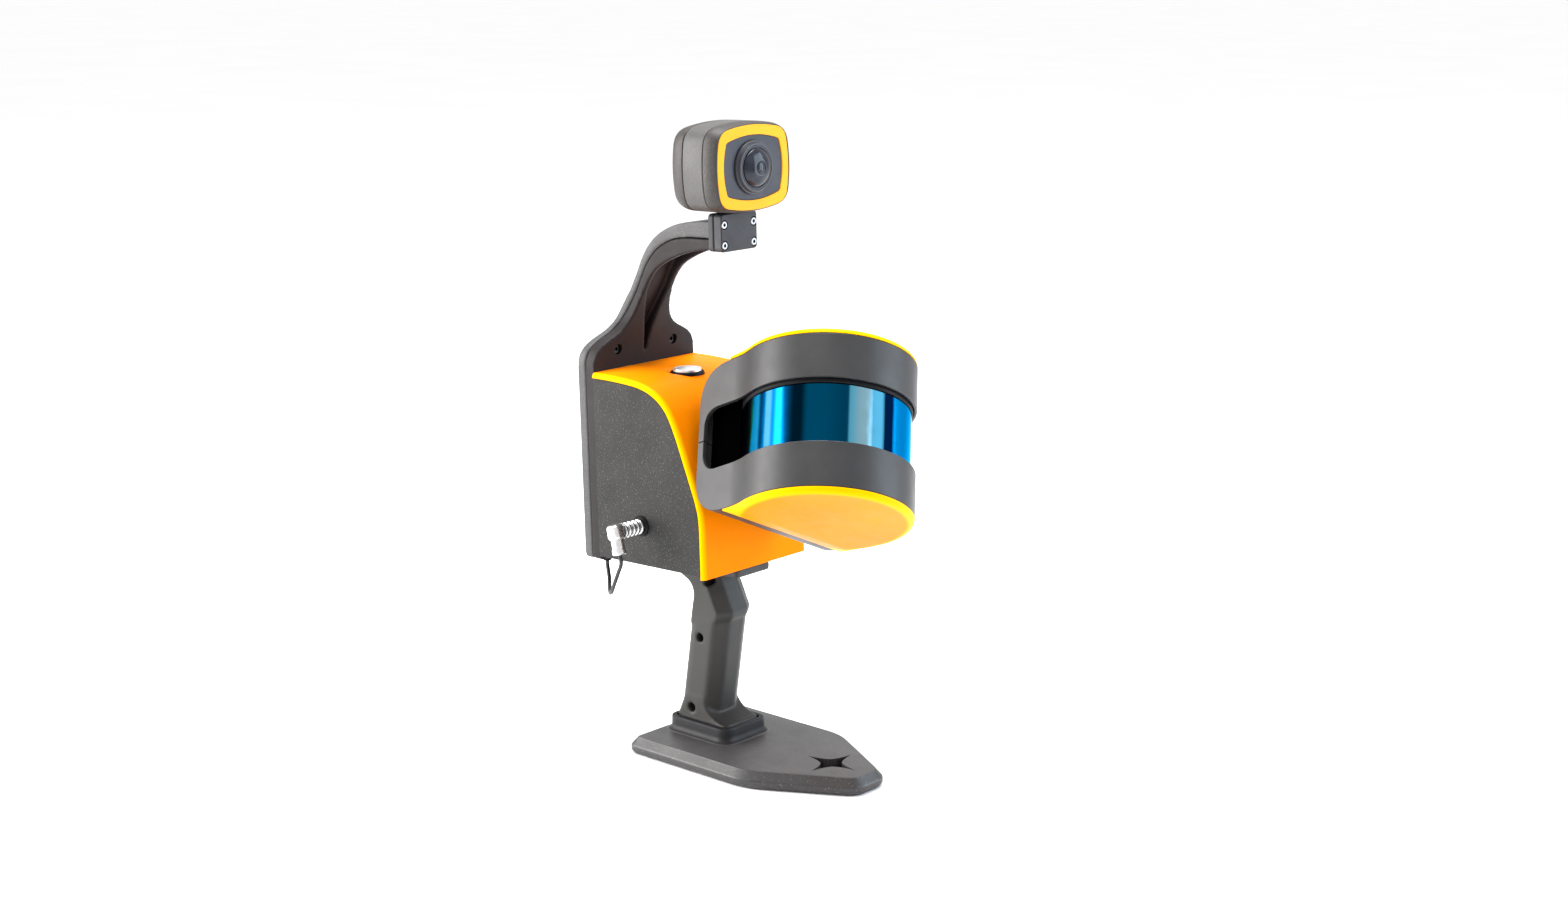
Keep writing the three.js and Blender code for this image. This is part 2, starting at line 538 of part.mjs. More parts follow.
// ---- plug and camera cable -------------------------------------------------
function makePlug() {
  const put = (body) => alongLeft(body).translate([0, PORT.y, PORT.z]);
  const face = -PORT.x + GAP;
  const socket = cut(
    turned([[0, 30], [4.6, 30], [4.6, face], [5.6, face], [5.3, face + 1.5], [0, face + 1.5]], 20),
    rod(2.6, face - 7, face + 5, 12));
  node('port_socket', put(socket), BLACK);

  const start = face + 1.8;
  const ribs = [[0, face - 6.5], [2.3, face - 6.5], [2.3, start], [4.8, start]];
  for (let i = 0; i < 4; i += 1) {
    const at = start + 1.4 + i * 3.4;
    ribs.push([4.8, at], [4, at + 0.3], [4, at + 1.5], [4.8, at + 1.8]);
  }
  const end = start + 15;
  ribs.push([4.8, end], [0, end]);
  node('plug_barrel', put(turned(ribs, 16)), STEEL);

  const elbowX = -(end + GAP + 4.6);
  const tip = -PORT.sleeve;
  const knuckle = upright(rectangle(-4.6, 4.6, -4.6, 4.6, 2.4), -4.6, 5, { along: 1.2, inset: 1.2 });
  const sleeve = turned([[0, tip], [4.3, tip], [4.3, tip + 3.4], [3.9, tip + 3.8], [3.9, 0], [0, 0]], 16);
  const elbow = join(knuckle, sleeve).rotate([-PORT.turn, 0, 0]).translate([elbowX, PORT.y, PORT.z]);
  node('plug_elbow', elbow, STEEL);

  const low = GLAND.bottom - GAP;
  const spot = (x, y, z) => new THREE.Vector3(x, y, z);
  const down = spot(0, 0, -1).applyAxisAngle(X, -rad(PORT.turn));
  const from = spot(elbowX, PORT.y, PORT.z).addScaledVector(down, PORT.sleeve + GAP);
  const into = spot(GLAND.x, GLAND.y, low);
  // Each spot: share of the way from plug to gland, height, sideways bow.
  const hang = ([share, z, bow]) => from.clone().lerp(into, share)
    .add(spot(-0.67 * bow, 0.74 * bow, 0)).setZ(z);
  const sag = [
    [0.07, 124, 0.8], [0.15, 117, 2.4], [0.3, 109, 3.4], [0.5, 105.6, 3], [0.7, 106.6, 1.6],
    [0.88, 110.4, 0.2],
  ];
  const route = new THREE.CatmullRomCurve3([
    from, from.clone().addScaledVector(down, 5), ...sag.map(hang), spot(GLAND.x, GLAND.y, low - 3), into,
  ], false, 'centripetal');
  const section = new THREE.Shape(new THREE.EllipseCurve(0, 0, 1.25, 1.25).getPoints(8).slice(0, 8));
  const cable = new THREE.ExtrudeGeometry(section, { extrudePath: route, steps: 34, bevelEnabled: false });
  node('camera_cable', solid(cable), BLACK);
  node('cable_gland', rod(3, GLAND.bottom, 125.6, 14).translate([GLAND.x, GLAND.y, 0]), BLACK);
}

// ---- drive train and electronics inside the box ----------------------------
// A tooth from root to root: [height in modules, angle in tooth pitches].
const TOOTH = [[-1.2, -0.3], [0.8, -0.12], [0.8, 0.12], [-1.2, 0.3]];

function gearShape(teeth, phase) {
  const pitch = (GEAR.module * teeth) / 2;
  const step = (2 * Math.PI) / teeth;
  const points = [];
  for (let i = 0; i < teeth; i += 1) {
    const middle = phase + i * step;
    for (const [height, share] of TOOTH) {
      const angle = middle + share * step;
      const radius = pitch + height * GEAR.module;
      points.push(new THREE.Vector2(radius * Math.cos(angle), radius * Math.sin(angle)));
    }
  }
  return new THREE.Shape(points);
}

function makeDrive() {
  const reach = (GEAR.module * (GEAR.wheel + GEAR.pinion)) / 2;
  const housing = alongBack(ring(13.8, 16.9, 66.5, 98.5, 28));
  const plate = frontal(
    outline([[-38, -22, 4], [38, -22, 4], [38, 30, 6], [20, 50, 4], [-20, 50, 4], [-38, 30, 6]]),
    98, 101);
  const bracket = cut(join(housing, plate),
    alongBack(rod(13.8, 60, 98, 28)),
    alongBack(rod(9.9, 60, 110, 20)),
    alongBack(rod(5, 90, 110, 16)).translate([0, 0, reach]));
  node('drive_bracket', bracket, ALLOY, axisFrame);
  node('bearing_front', alongBack(ring(9.3, 13.5, 68, 76)), STEEL, axisFrame);
  node('bearing_rear', alongBack(ring(9.3, 13.5, 88, 96)), STEEL, axisFrame);

  const { flange, shaft, bore, end } = SPINDLE;
  const from = HEAD.rear + GAP;
  const spindle = turned([
    [bore, from], [flange, from], [flange, from + 3.6], [13.2, from + 4.2], [13.2, from + 5.6],
    [shaft, from + 5.8], [shaft, end], [bore, end], [bore, from],
  ], 28);
  node('head_spindle', alongBack(spindle), ALLOY, axisFrame);

  const wheel = cut(frontal(gearShape(GEAR.wheel, Math.PI / 2 + Math.PI / GEAR.wheel), GEAR.from, GEAR.to),
    alongBack(rod(shaft + GAP, 90, 120, 20)));
  node('head_gear', wheel, ALLOY, axisFrame);
  const teeth = frontal(gearShape(GEAR.pinion, -Math.PI / 2), GEAR.from, GEAR.to);
  const pinion = join(teeth, alongBack(rod(2, 88, GEAR.from + 1, 10)));
  node('motor_pinion', pinion.translate([0, 0, reach]), STEEL, axisFrame);

  const motor = cut(
    turned([[0, 81], [12.4, 81], [13, 82], [13, 97.7], [4.6, 97.7], [4.6, 100.6], [0, 100.6]], 20),
    rod(2.4, 87, 110, 10));
  node('drive_motor', alongBack(motor).translate([0, 0, reach]), DARK, axisFrame);

  const collector = turned([
    [0, 96], [4.8, 96], [4.8, end + GAP], [8.6, end + GAP], [8.6, end + 2.8], [4.8, end + 2.8],
    [4.8, end + 10], [0, end + 10],
  ], 16);
  node('slip_ring', alongBack(collector), BLACK, axisFrame);
}

function makeBoard() {
  const chips = [
    [-18, 205, 12, 12], [12, 212, 15, 8], [16, 184, 9, 9], [-16, 172, 14, 7], [14, 150, 12, 10],
  ];
  let board = box(-34, 34, 98, 99.6, 132, 230);
  for (const [x, z, halfX, halfZ] of chips) {
    board = join(board, box(x - halfX, x + halfX, 94.5, 98.5, z - halfZ, z + halfZ));
  }
  node('main_board', board, BOARD);
}

// ---- turning head ----------------------------------------------------------
// Plan of the head: a round front that runs into a square rear block.
function headPlan(radius, side, rear, start = 31) {
  const turn = rad(17);
  const meet = (radius - side * Math.cos(turn)) / Math.sin(turn);
  const shape = new THREE.Shape();
  shape.moveTo(side, rear);
  shape.lineTo(side, start);
  shape.quadraticCurveTo(side, meet, radius * Math.cos(turn), radius * Math.sin(turn));
  shape.absarc(0, 0, radius, turn, Math.PI - turn, true);
  shape.quadraticCurveTo(-side, meet, -side, start);
  shape.lineTo(-side, rear);
  shape.closePath();
  return shape;
}

// Side view of the head between its flats, with rounded rear edges.
function headSide(half, rear, round) {
  return outline([[-90, -half], [rear, -half, round], [rear, half, round], [-90, half]]);
}

function makeHeadShells() {
  const { radius, side, rear, height, round, wall } = HEAD;
  const outer = common(upright(headPlan(radius, side, rear), -height, height, undefined, 14),
    across(headSide(height, rear, round), -70, 70, undefined, 7));
  const hollow = common(
    upright(headPlan(PUCK.radius + 0.5, side - wall, rear - wall),
      -height + 3.8, height - 3.8, undefined, 14),
    across(headSide(height - 3.8, rear - wall, round - wall), -70, 70));
  const slot = across(headSide(HEAD.slot, HEAD.slotRear, HEAD.slotRound), -70, 70);
  const wires = alongBack(rod(SPINDLE.bore, 50, 70, 12));
  const casing = cut(outer, hollow, slot, wires);
  const seam = GAP / 2;
  node('head_shell_upper', common(casing, box(-80, 80, -80, 80, seam, 80)), SHELL_GREY, headFrame);
  node('head_shell_lower', common(casing, box(-80, 80, -80, 80, -80, -seam)), SHELL_GREY, headFrame);

  const inside = across(headSide(height - 4.1, rear - wall - GAP, round - wall), -40, 40);
  const core = cut(common(inside, box(-40, 40, 28, 90, -30, 30)),
    rod(PUCK.radius + 0.6, -40, 40, 40), alongBack(rod(SPINDLE.bore, 40, 70, 12)));
  node('head_core', core, BLACK, headFrame);
}

function makeCaps() {
  const start = HEAD.height + GAP;
  const top = start + CAP.thick;
  const blank = upright(headPlan(HEAD.radius, HEAD.side, CAP.rear), start - 8, top,
    { along: CAP.thick - 0.2, inset: CAP.bevel, segments: 2 }, 14);
  const cap = cut(blank, box(-80, 80, -80, 80, start - 20, start));
  node('head_cap_upper', cap, ORANGE, headFrame);
  node('head_cap_lower', cap.rotate([0, 180, 0]), ORANGE, headFrame);
}

function makePuck() {
  const { radius, glass, top, glassTop, glassBottom } = PUCK;
  const base = turned([
    [0, -HEAD.height + 4.1], [33, -HEAD.height + 4.1], [33, -top], [radius, -top],
    [radius, glassBottom - GAP], [0, glassBottom - GAP],
  ], 40);
  node('lidar_base', base, BLACK, headFrame);
  node('lidar_window', ring(47, glass, glassBottom, glassTop, 40), BLUE, headFrame);
  const lid = turned([
    [0, glassTop + GAP], [radius, glassTop + GAP], [radius, top - 2], [radius - 2, top], [0, top],
  ], 40);
  node('lidar_top', lid, BLACK, headFrame);
  const rotor = turned([
    [0, glassBottom], [8, glassBottom], [8, -14], [44, -14], [44, 14], [0, 14],
  ], 32);
  node('lidar_rotor', cut(rotor, box(-36, 36, -60, -38, -9, 9)), BLACK, headFrame);
}

makeBase();
makeHandle();
makeBox();
makeButton();
makeArm();
makeClamp();
makeCamera();
makePlug();
makeDrive();
makeBoard();
makeHeadShells();
makeCaps();
makePuck();

export default group;
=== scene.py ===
"""Looks of the handheld laser scanner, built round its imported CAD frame.

Shapes are written in millimetres: in the row frame for the base, in the frame of the leaning
scanner body for what the grip carries, and in the head's own frame for the turning head.
"""

import json
from math import atan2, cos, pi, radians, sin, sqrt, tau

import bmesh
import bpy
from mathutils import Matrix, Vector


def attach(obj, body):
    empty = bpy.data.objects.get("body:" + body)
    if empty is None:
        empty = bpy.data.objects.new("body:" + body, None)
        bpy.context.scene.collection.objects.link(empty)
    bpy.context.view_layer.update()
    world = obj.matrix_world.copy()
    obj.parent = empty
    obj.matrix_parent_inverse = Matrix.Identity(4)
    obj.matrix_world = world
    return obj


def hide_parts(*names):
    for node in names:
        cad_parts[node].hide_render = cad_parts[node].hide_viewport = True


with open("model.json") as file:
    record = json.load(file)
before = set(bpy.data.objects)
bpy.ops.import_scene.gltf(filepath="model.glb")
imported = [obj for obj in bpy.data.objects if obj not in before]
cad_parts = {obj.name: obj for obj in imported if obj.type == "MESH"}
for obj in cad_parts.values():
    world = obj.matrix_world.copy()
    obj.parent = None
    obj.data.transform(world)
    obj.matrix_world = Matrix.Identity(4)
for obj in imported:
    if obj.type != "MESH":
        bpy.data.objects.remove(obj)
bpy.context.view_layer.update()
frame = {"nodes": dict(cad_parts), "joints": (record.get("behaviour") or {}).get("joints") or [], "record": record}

MM = 0.001
GAP = 0.3
VOXEL = 0.8  # grain of a softened skin
CORNER_ROOM = 0.48  # share of a side that a rounded corner may take
CAD_ANGLE = 30  # degrees: edges of CAD nodes sharper than this stay sharp
JOINTS = {joint["name"]: joint for joint in frame["joints"]}
BODY_OF = {node: body for body, nodes in frame["record"]["behaviour"]["bodies"].items() for node in nodes}


# ---- frames ----
def scanner_frame():
    """The leaning body: the button travels straight down in it."""
    down = Vector(JOINTS["button_press"]["axis"])
    lean = atan2(-down.y, -down.z)
    pivot = Vector((0, 61, 122.5)) * MM
    turn = Matrix.Rotation(-lean, 4, "X")
    return Matrix.Translation(pivot) @ turn @ Matrix.Translation(-pivot) @ Matrix.Scale(MM, 4)


def head_frame(spun):
    """Origin in the head's middle, +Y back along its axis; +Z is the puck's axis when spun."""
    back = Vector(JOINTS["head_spin"]["axis"]).normalized()
    if spun:
        side = back.cross(Vector(JOINTS["sensor_spin"]["axis"])).normalized()
    else:
        side = Vector((1, 0, 0))
    up = side.cross(back)
    turn = Matrix((side, back, up)).transposed().to_4x4()
    return Matrix.Translation(JOINTS["head_spin"]["pos_m"]) @ turn @ Matrix.Scale(MM, 4)


ROW = Matrix.Scale(MM, 4)
SCANNER = scanner_frame()
HEAD = head_frame(True)
AXLE = head_frame(False)
# Sketch planes: sketch (a, b) and run c become (x, y, z).
UPRIGHT = Matrix.Identity(3)
ACROSS = Matrix(((0, 0, 1), (1, 0, 0), (0, 1, 0)))
FRONTAL = Matrix(((1, 0, 0), (0, 0, -1), (0, 1, 0)))


# ---- curves ----
def polar(radius, angle):
    return Vector((radius * cos(angle), radius * sin(angle)))


def bend(start, corner, end, steps):
    """A curve that leaves start towards the corner and comes to end from it."""
    curve = []
    for k in range(steps + 1):
        t = k / steps
        curve.append(start * (1 - t) ** 2 + corner * 2 * t * (1 - t) + end * t * t)
    return curve


def rounded(corners, steps):
    """A closed outline whose corners (a, b, radius) are rounded where a radius is given."""
    points = []
    spots = [Vector(corner[:2]) for corner in corners]
    for i, corner in enumerate(corners):
        here, before, after = spots[i], spots[i - 1], spots[(i + 1) % len(spots)]
        room = CORNER_ROOM * min((here - before).length, (here - after).length)
        radius = min(corner[2] if len(corner) > 2 else 0, room)
        if radius == 0:
            points.append(here)
            continue
        enter = here + (before - here).normalized() * radius
        leave = here + (after - here).normalized() * radius
        points += bend(enter, here, leave, steps)
    return points


def rectangle(x0, x1, y0, y1, radius=0.0, steps=8):
    return rounded([(x0, y0, radius), (x1, y0, radius), (x1, y1, radius), (x0, y1, radius)], steps)


def mirrored(half):
    return list(half) + [(-point[0], *point[1:]) for point in reversed(half)]


def smooth_path(points, step):
    """A centripetal spline through the points, cut into pieces of about one step."""
    spots = [Vector(p) for p in points]
    spots = [spots[0] * 2 - spots[1], *spots, spots[-1] * 2 - spots[-2]]
    path = []
    for a, b, c, d in zip(spots, spots[1:], spots[2:], spots[3:]):
        t1 = (b - a).length ** 0.5
        t2 = t1 + (c - b).length ** 0.5
        t3 = t2 + (d - c).length ** 0.5
        count = max(1, round((c - b).length / step))
        for k in range(count):
            t = t1 + (t2 - t1) * k / count
            ab = a * ((t1 - t) / t1) + b * (t / t1)
            bc = b * ((t2 - t) / (t2 - t1)) + c * ((t - t1) / (t2 - t1))
            cd = c * ((t3 - t) / (t3 - t2)) + d * ((t - t2) / (t3 - t2))
            abc = ab * ((t2 - t) / t2) + bc * (t / t2)
            bcd = bc * ((t3 - t) / (t3 - t1)) + cd * ((t - t1) / (t3 - t1))
            path.append(abc * ((t2 - t) / (t2 - t1)) + bcd * ((t - t1) / (t2 - t1)))
    path.append(spots[-2])
    return path


def normals(path, closed=False):
    """The unit normal at each point, to the left of the way the path runs."""
    found = []
    last = len(path) - 1
    for i, here in enumerate(path):
        before = path[i - 1] if closed or i > 0 else here
        after = path[(i + 1) % len(path)] if closed or i < last else here
        along = (after - before).normalized()
        found.append(Vector((-along.y, along.x)))
    return found


def shifted(path, distance, closed=False):
    return [p + n * distance for p, n in zip(path, normals(path, closed))]


def bowed(a, b, radius):
    """A frame with bowed sides; its rounded corners lie in from a and b."""
    steps = 10
    x, z = a - BOW["side"], b - BOW["top"]
    tall, wide = z - radius, x - radius
    side, top = [], []
    for k in range(-steps, steps + 1):
        side.append(Vector((a - BOW["side"] * (k * tall / z / steps) ** 2, k * tall / steps)))
        top.append(Vector((-k * wide / steps, b - BOW["top"] * (k * wide / x / steps) ** 2)))
    corner = Vector((x + BOW["corner"], z + BOW["corner"]))
    turn = bend(side[-1], corner, top[0], 12)[1:-1]
    half = side + turn + top + [Vector((-p.x, p.y)) for p in reversed(turn)]
    return half + [Vector((-p.x, -p.y)) for p in side + turn + top] + [
        Vector((p.x, -p.y)) for p in reversed(turn)]


# ---- mesh building ----
def linked(name, data):
    """A new object in the scene."""
    made = bpy.data.objects.new(name, data)
    bpy.context.scene.collection.objects.link(made)
    return made


def mesh_object(name, vertices, faces):
    mesh = bpy.data.meshes.new(name)
    mesh.from_pydata([tuple(v) for v in vertices], [], faces)
    mesh.update()
    return linked(name, mesh)


def face_out(built):
    """Turns every face outwards."""
    work = bmesh.new()
    work.from_mesh(built.data)
    bmesh.ops.remove_doubles(work, verts=work.verts, dist=1e-5)
    bmesh.ops.recalc_face_normals(work, faces=work.faces)
    work.to_mesh(built.data)
    work.free()
    return built


def loft(rings):
    """A closed skin through rings of equally many points, capped at both ends."""
    size = len(rings[0])
    vertices = [point for points in rings for point in points]
    last = len(vertices) - size
    faces = []
    for low in range(0, last, size):
        high = low + size
        for k in range(size):
            n = (k + 1) % size
            faces.append((low + k, low + n, high + n, high + k))
    faces.append(tuple(range(size - 1, -1, -1)))
    faces.append(tuple(range(last, len(vertices))))
    return face_out(mesh_object("loft", vertices, faces))


def prism(outline, low, high, basis=UPRIGHT):
    rings = [[basis @ Vector((p[0], p[1], c)) for p in outline] for c in (low, high)]
    return loft(rings)


def frontal(outline, y0, y1):
    return prism(outline, -y1, -y0, FRONTAL)


def stacked(outline, levels):
    """An outline run through levels (height, inset), so its edges can be rounded."""
    rings = []
    for height, inset in levels:
        loop = shifted(outline, inset, closed=True) if inset else outline
        rings.append([Vector((p[0], p[1], height)) for p in loop])
    return loft(rings)


def turned(profile, steps=72):
    """A turned piece: profile points (radius, height) about +Z, closed on the axis or on itself."""
    vertices, rings = [], []
    for radius, height in profile:
        if radius == 0:
            rings.append([len(vertices)] * steps)
            vertices.append((0, 0, height))
            continue
        rings.append(range(len(vertices), len(vertices) + steps))
        for k in range(steps):
            angle = tau * k / steps
            vertices.append((radius * cos(angle), radius * sin(angle), height))
    faces = []
    for low, high in zip(rings, rings[1:]):
        for k in range(steps):
            n = (k + 1) % steps
            face = list(dict.fromkeys((low[k], low[n], high[n], high[k])))
            if len(face) > 2:
                faces.append(face)
    return face_out(mesh_object("turned", vertices, faces))


def rod(radius, low, high, steps=48):
    return turned([(0, low), (radius, low), (radius, high), (0, high)], steps)


def moved(built, matrix):
    built.data.transform(matrix)
    return built


def along_back(built):
    return moved(built, Matrix.Rotation(-pi / 2, 4, "X"))


def along_front(built):
    return moved(built, Matrix.Rotation(pi / 2, 4, "X"))


def along_left(built):
    return moved(built, Matrix.Rotation(-pi / 2, 4, "Y"))


def at(built, x=0.0, y=0.0, z=0.0):
    return moved(built, Matrix.Translation((x, y, z)))


def applied(built, kind, **settings):
    """The mesh after one modifier."""
    modifier = built.modifiers.new(kind, kind)
    for key, value in settings.items():
        setattr(modifier, key, value)
    bpy.context.view_layer.update()
    graph = bpy.context.evaluated_depsgraph_get()
    mesh = bpy.data.meshes.new_from_object(built.evaluated_get(graph))
    built.modifiers.clear()
    old = built.data
    built.data = mesh
    bpy.data.meshes.remove(old)
    return built


def combined(built, operation, others):
    for other in others:
        applied(built, "BOOLEAN", operation=operation, object=other, solver="MANIFOLD")
        bpy.data.objects.remove(other)
    return built


def cut(built, *others):
    return combined(built, "DIFFERENCE", others)


def join(built, *others):
    return combined(built, "UNION", others)


def common(built, *others):
    return combined(built, "INTERSECT", others)


def bevelled(built, width, segments, angle=40):
    return applied(built, "BEVEL", width=width, segments=segments, limit_method="ANGLE",
                   angle_limit=radians(angle), use_clamp_overlap=True)


def softened(built, rounds):
    """The same solid as one even skin with its edges worn round, as a moulding has them."""
    applied(built, "REMESH", mode="VOXEL", voxel_size=VOXEL, adaptivity=0)
    return applied(built, "SMOOTH", factor=0.5, iterations=rounds)


def cad_copy(node, matrix):
    """A CAD node's solid, in millimetres of the given frame."""
    built = linked(node, frame["nodes"][node].data.copy())
    moved(built, matrix.inverted())
    return face_out(built)


def shaded(built, angle):
    """Smooth faces, with edges sharper than the angle kept sharp."""
    mesh = built.data
    mesh.polygons.foreach_set("use_smooth", [True] * len(mesh.polygons))
    mesh.set_sharp_from_angle(angle=radians(angle))
    mesh.update()
    return built


def piece(built, node, look, angle=32, place=SCANNER, weighted=True):
    """Puts a finished piece in place of its CAD node."""
    moved(built, place)
    built.name = node + ".fine"
    built.data.name = node + ".fine"
    built.data.materials.clear()
    built.data.materials.append(MATERIALS[look])
    shaded(built, angle)
    if weighted:
        built.modifiers.new("normals", "WEIGHTED_NORMAL").keep_sharp = True
    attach(built, BODY_OF[node])
    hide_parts(node)
    return built


def dressed(node, look):
    """A CAD node that stays, with its material."""
    built = frame["nodes"][node]
    if not built.material_slots:
        built.data.materials.append(MATERIALS[look])
    for material_slot in built.material_slots:
        material_slot.material = MATERIALS[look]
    shaded(built, CAD_ANGLE)


# ---- materials ----
class Shader:
    """One procedural material: nodes are added and wired by short calls."""

    def __init__(self, name, **values):
        self.material = bpy.data.materials.new(name)
        self.material.use_nodes = True
        self.tree = self.material.node_tree
        self.surface = self.tree.nodes["Principled BSDF"]
        self.place = self.tree.nodes.new("ShaderNodeTexCoord").outputs["Object"]
        for key, value in values.items():
            self.surface.inputs[key.replace("_", " ")].default_value = value

    def node(self, kind, **settings):
        made = self.tree.nodes.new(kind)
        for key, value in settings.items():
            setattr(made, key, value)
        return made

    def wire(self, source, target):
        self.tree.links.new(source, target)

    def feed(self, value, target):
        """Wires a source to the socket, or sets a plain value on it."""
        if hasattr(value, "is_output"):
            self.wire(value, target)
        else:
            target.default_value = (*value, 1) if isinstance(value, tuple) else value

    def stretched(self, scale):
        mapping = self.node("ShaderNodeMapping")
        mapping.inputs["Scale"].default_value = scale
        self.wire(self.place, mapping.inputs["Vector"])
        return mapping.outputs["Vector"]

    def noise(self, size, detail=3, rough=0.55, stretch=None):
        """Noise whose features are about size millimetres."""
        made = self.node("ShaderNodeTexNoise")
        made.inputs["Scale"].default_value = 1 / (size * MM)
        made.inputs["Detail"].default_value = detail
        made.inputs["Roughness"].default_value = rough
        self.wire(self.stretched(stretch) if stretch else self.place, made.inputs["Vector"])
        return made.outputs["Fac"]

    def cells(self, size):
        made = self.node("ShaderNodeTexVoronoi")
        made.inputs["Scale"].default_value = 1 / (size * MM)
        self.wire(self.place, made.inputs["Vector"])
        return made.outputs["Distance"]

    def ramp(self, source, *stops):
        """Stops are (position, colour or grey)."""
        made = self.node("ShaderNodeValToRGB")
        elements = made.color_ramp.elements
        while len(elements) < len(stops):
            elements.new(0.5)
        for element, (position, value) in zip(elements, stops):
            element.position = position
            element.color = (*value, 1) if isinstance(value, tuple) else (value, value, value, 1)
        self.wire(source, made.inputs["Fac"])
        return made.outputs["Color"]

    def mix(self, share, first, second):
        made = self.node("ShaderNodeMix", data_type="RGBA")
        for socket, value in ((0, share), (6, first), (7, second)):
            self.feed(value, made.inputs[socket])
        return made.outputs[2]

    def math(self, operation, first, second):
        made = self.node("ShaderNodeMath", operation=operation)
        self.feed(first, made.inputs[0])
        self.feed(second, made.inputs[1])
        return made.outputs[0]

    def vector(self, operation, first, second=None):
        made = self.node("ShaderNodeVectorMath", operation=operation)
        self.wire(first, made.inputs[0])
        if second is not None:
            made.inputs[1].default_value = second
        return made.outputs["Value" if operation in ("DOT_PRODUCT", "LENGTH") else "Vector"]

    def bump(self, height, strength, depth):
        made = self.node("ShaderNodeBump")
        made.inputs["Strength"].default_value = strength
        made.inputs["Distance"].default_value = depth * MM
        self.wire(height, made.inputs["Height"])
        self.wire(made.outputs["Normal"], self.surface.inputs["Normal"])

    def colour(self, source):
        self.wire(source, self.surface.inputs["Base Color"])

    def roughness(self, source):
        self.wire(source, self.surface.inputs["Roughness"])


def scuffs(shader, size, amount):
    """A sparse mask of thin rubbed marks."""
    streaks = shader.noise(size, 6, 0.7, stretch=(1.0, 0.35, 2.2))
    return shader.ramp(streaks, (0.62, 0.0), (0.62 + amount, 1.0))


def moulded(name, colour, rough, grain, depth, speck, gloss):
    """Moulded or coated plastic: mottled colour, grain, and rubbed marks lighter than the rest."""
    shader = Shader(name, Specular_IOR_Level=gloss)
    light = tuple(c * 1.45 for c in colour)
    cloud = shader.ramp(shader.noise(28, 4), (0.3, tuple(c * 0.86 for c in colour)), (0.7, colour))
    fine = shader.noise(grain, 2, 0.6)
    tint = shader.mix(shader.ramp(fine, (0.35, 0.0), (0.7, 0.45)), cloud, light)
    if speck:
        dots = shader.ramp(shader.noise(grain * 1.3, 1), (0.64, 0.0), (0.7, speck))
        tint = shader.mix(dots, tint, tuple(c * 4.5 for c in colour))
    rubbed = scuffs(shader, 9, 0.18)
    shader.colour(shader.mix(shader.math("MULTIPLY", rubbed, 0.35), tint, light))
    patches = shader.ramp(shader.noise(14, 4), (0.25, rough - 0.07), (0.75, rough + 0.07))
    shader.roughness(shader.mix(shader.math("MULTIPLY", rubbed, 0.5), patches, (rough - 0.12,) * 3))
    shader.bump(shader.math("ADD", fine, shader.math("MULTIPLY", shader.cells(grain * 2), 0.5)), 0.5, depth)
    return shader.material


def side_reach(shader):
    """How far a point is from the box's middle plane, in tenths of a metre."""
    parts = shader.node("ShaderNodeSeparateXYZ")
    shader.wire(shader.place, parts.inputs[0])
    return shader.math("MULTIPLY", shader.math("ABSOLUTE", parts.outputs["X"], 0), 10)


def head_reach(shader):
    """How far a point is from the head's round axis, in tenths of a metre."""
    spin = JOINTS["sensor_spin"]
    away = shader.vector("SUBTRACT", shader.place, spin["pos_m"])
    across = shader.vector("CROSS_PRODUCT", away, Vector(spin["axis"]).normalized())
    return shader.math("MULTIPLY", shader.vector("LENGTH", across), 10)


def gloss_shell(name, colour, deep, rough, gloss, edge=None):
    """Semi-gloss shell: slow colour drift, faint orange peel, handling marks.

    An edge (measure, start, end, tint) paints a highlight on the rim: the tint is laid on where the measure rises
    from start to end.
    """
    shader = Shader(name, Specular_IOR_Level=gloss, Specular_Tint=(1.0, 0.6, 0.05, 1))
    drift = shader.ramp(shader.noise(40, 3), (0.3, deep), (0.65, colour))
    if edge:
        measure, start, end, rim = edge
        # Painted highlight: the rim's colour turns to the tint where the measure rises.
        drift = shader.mix(shader.ramp(measure(shader), (start, 0.0), (end, 1.0)), drift, rim)
    marks = scuffs(shader, 5, 0.12)
    pale = (colour[0], colour[1] * 1.25, colour[2] + 0.004)
    shader.colour(shader.mix(shader.math("MULTIPLY", marks, 0.15), drift, pale))
    dull = shader.ramp(shader.noise(9, 5), (0.3, rough - 0.06), (0.75, rough + 0.08))
    shader.roughness(shader.mix(shader.math("MULTIPLY", marks, 0.6), dull, (rough + 0.2,) * 3))
    shader.bump(shader.noise(1.6, 2), 0.25, 0.03)
    return shader.material


def metal(name, colour, rough, stretch=(1, 1, 8)):
    """Machined metal: fine turning lines, stains and small scratches."""
    shader = Shader(name, Metallic=1.0)
    lines = shader.noise(0.8, 4, 0.6, stretch=stretch)
    stain = shader.noise(6, 5)
    dark = tuple(c * 0.62 for c in colour)
    shader.colour(shader.mix(shader.ramp(stain, (0.4, 0.0), (0.8, 0.7)), colour, dark))
    shader.roughness(shader.ramp(lines, (0.25, rough * 0.65), (0.8, rough * 1.45)))
    shader.bump(lines, 0.35, 0.01)
    return shader.material


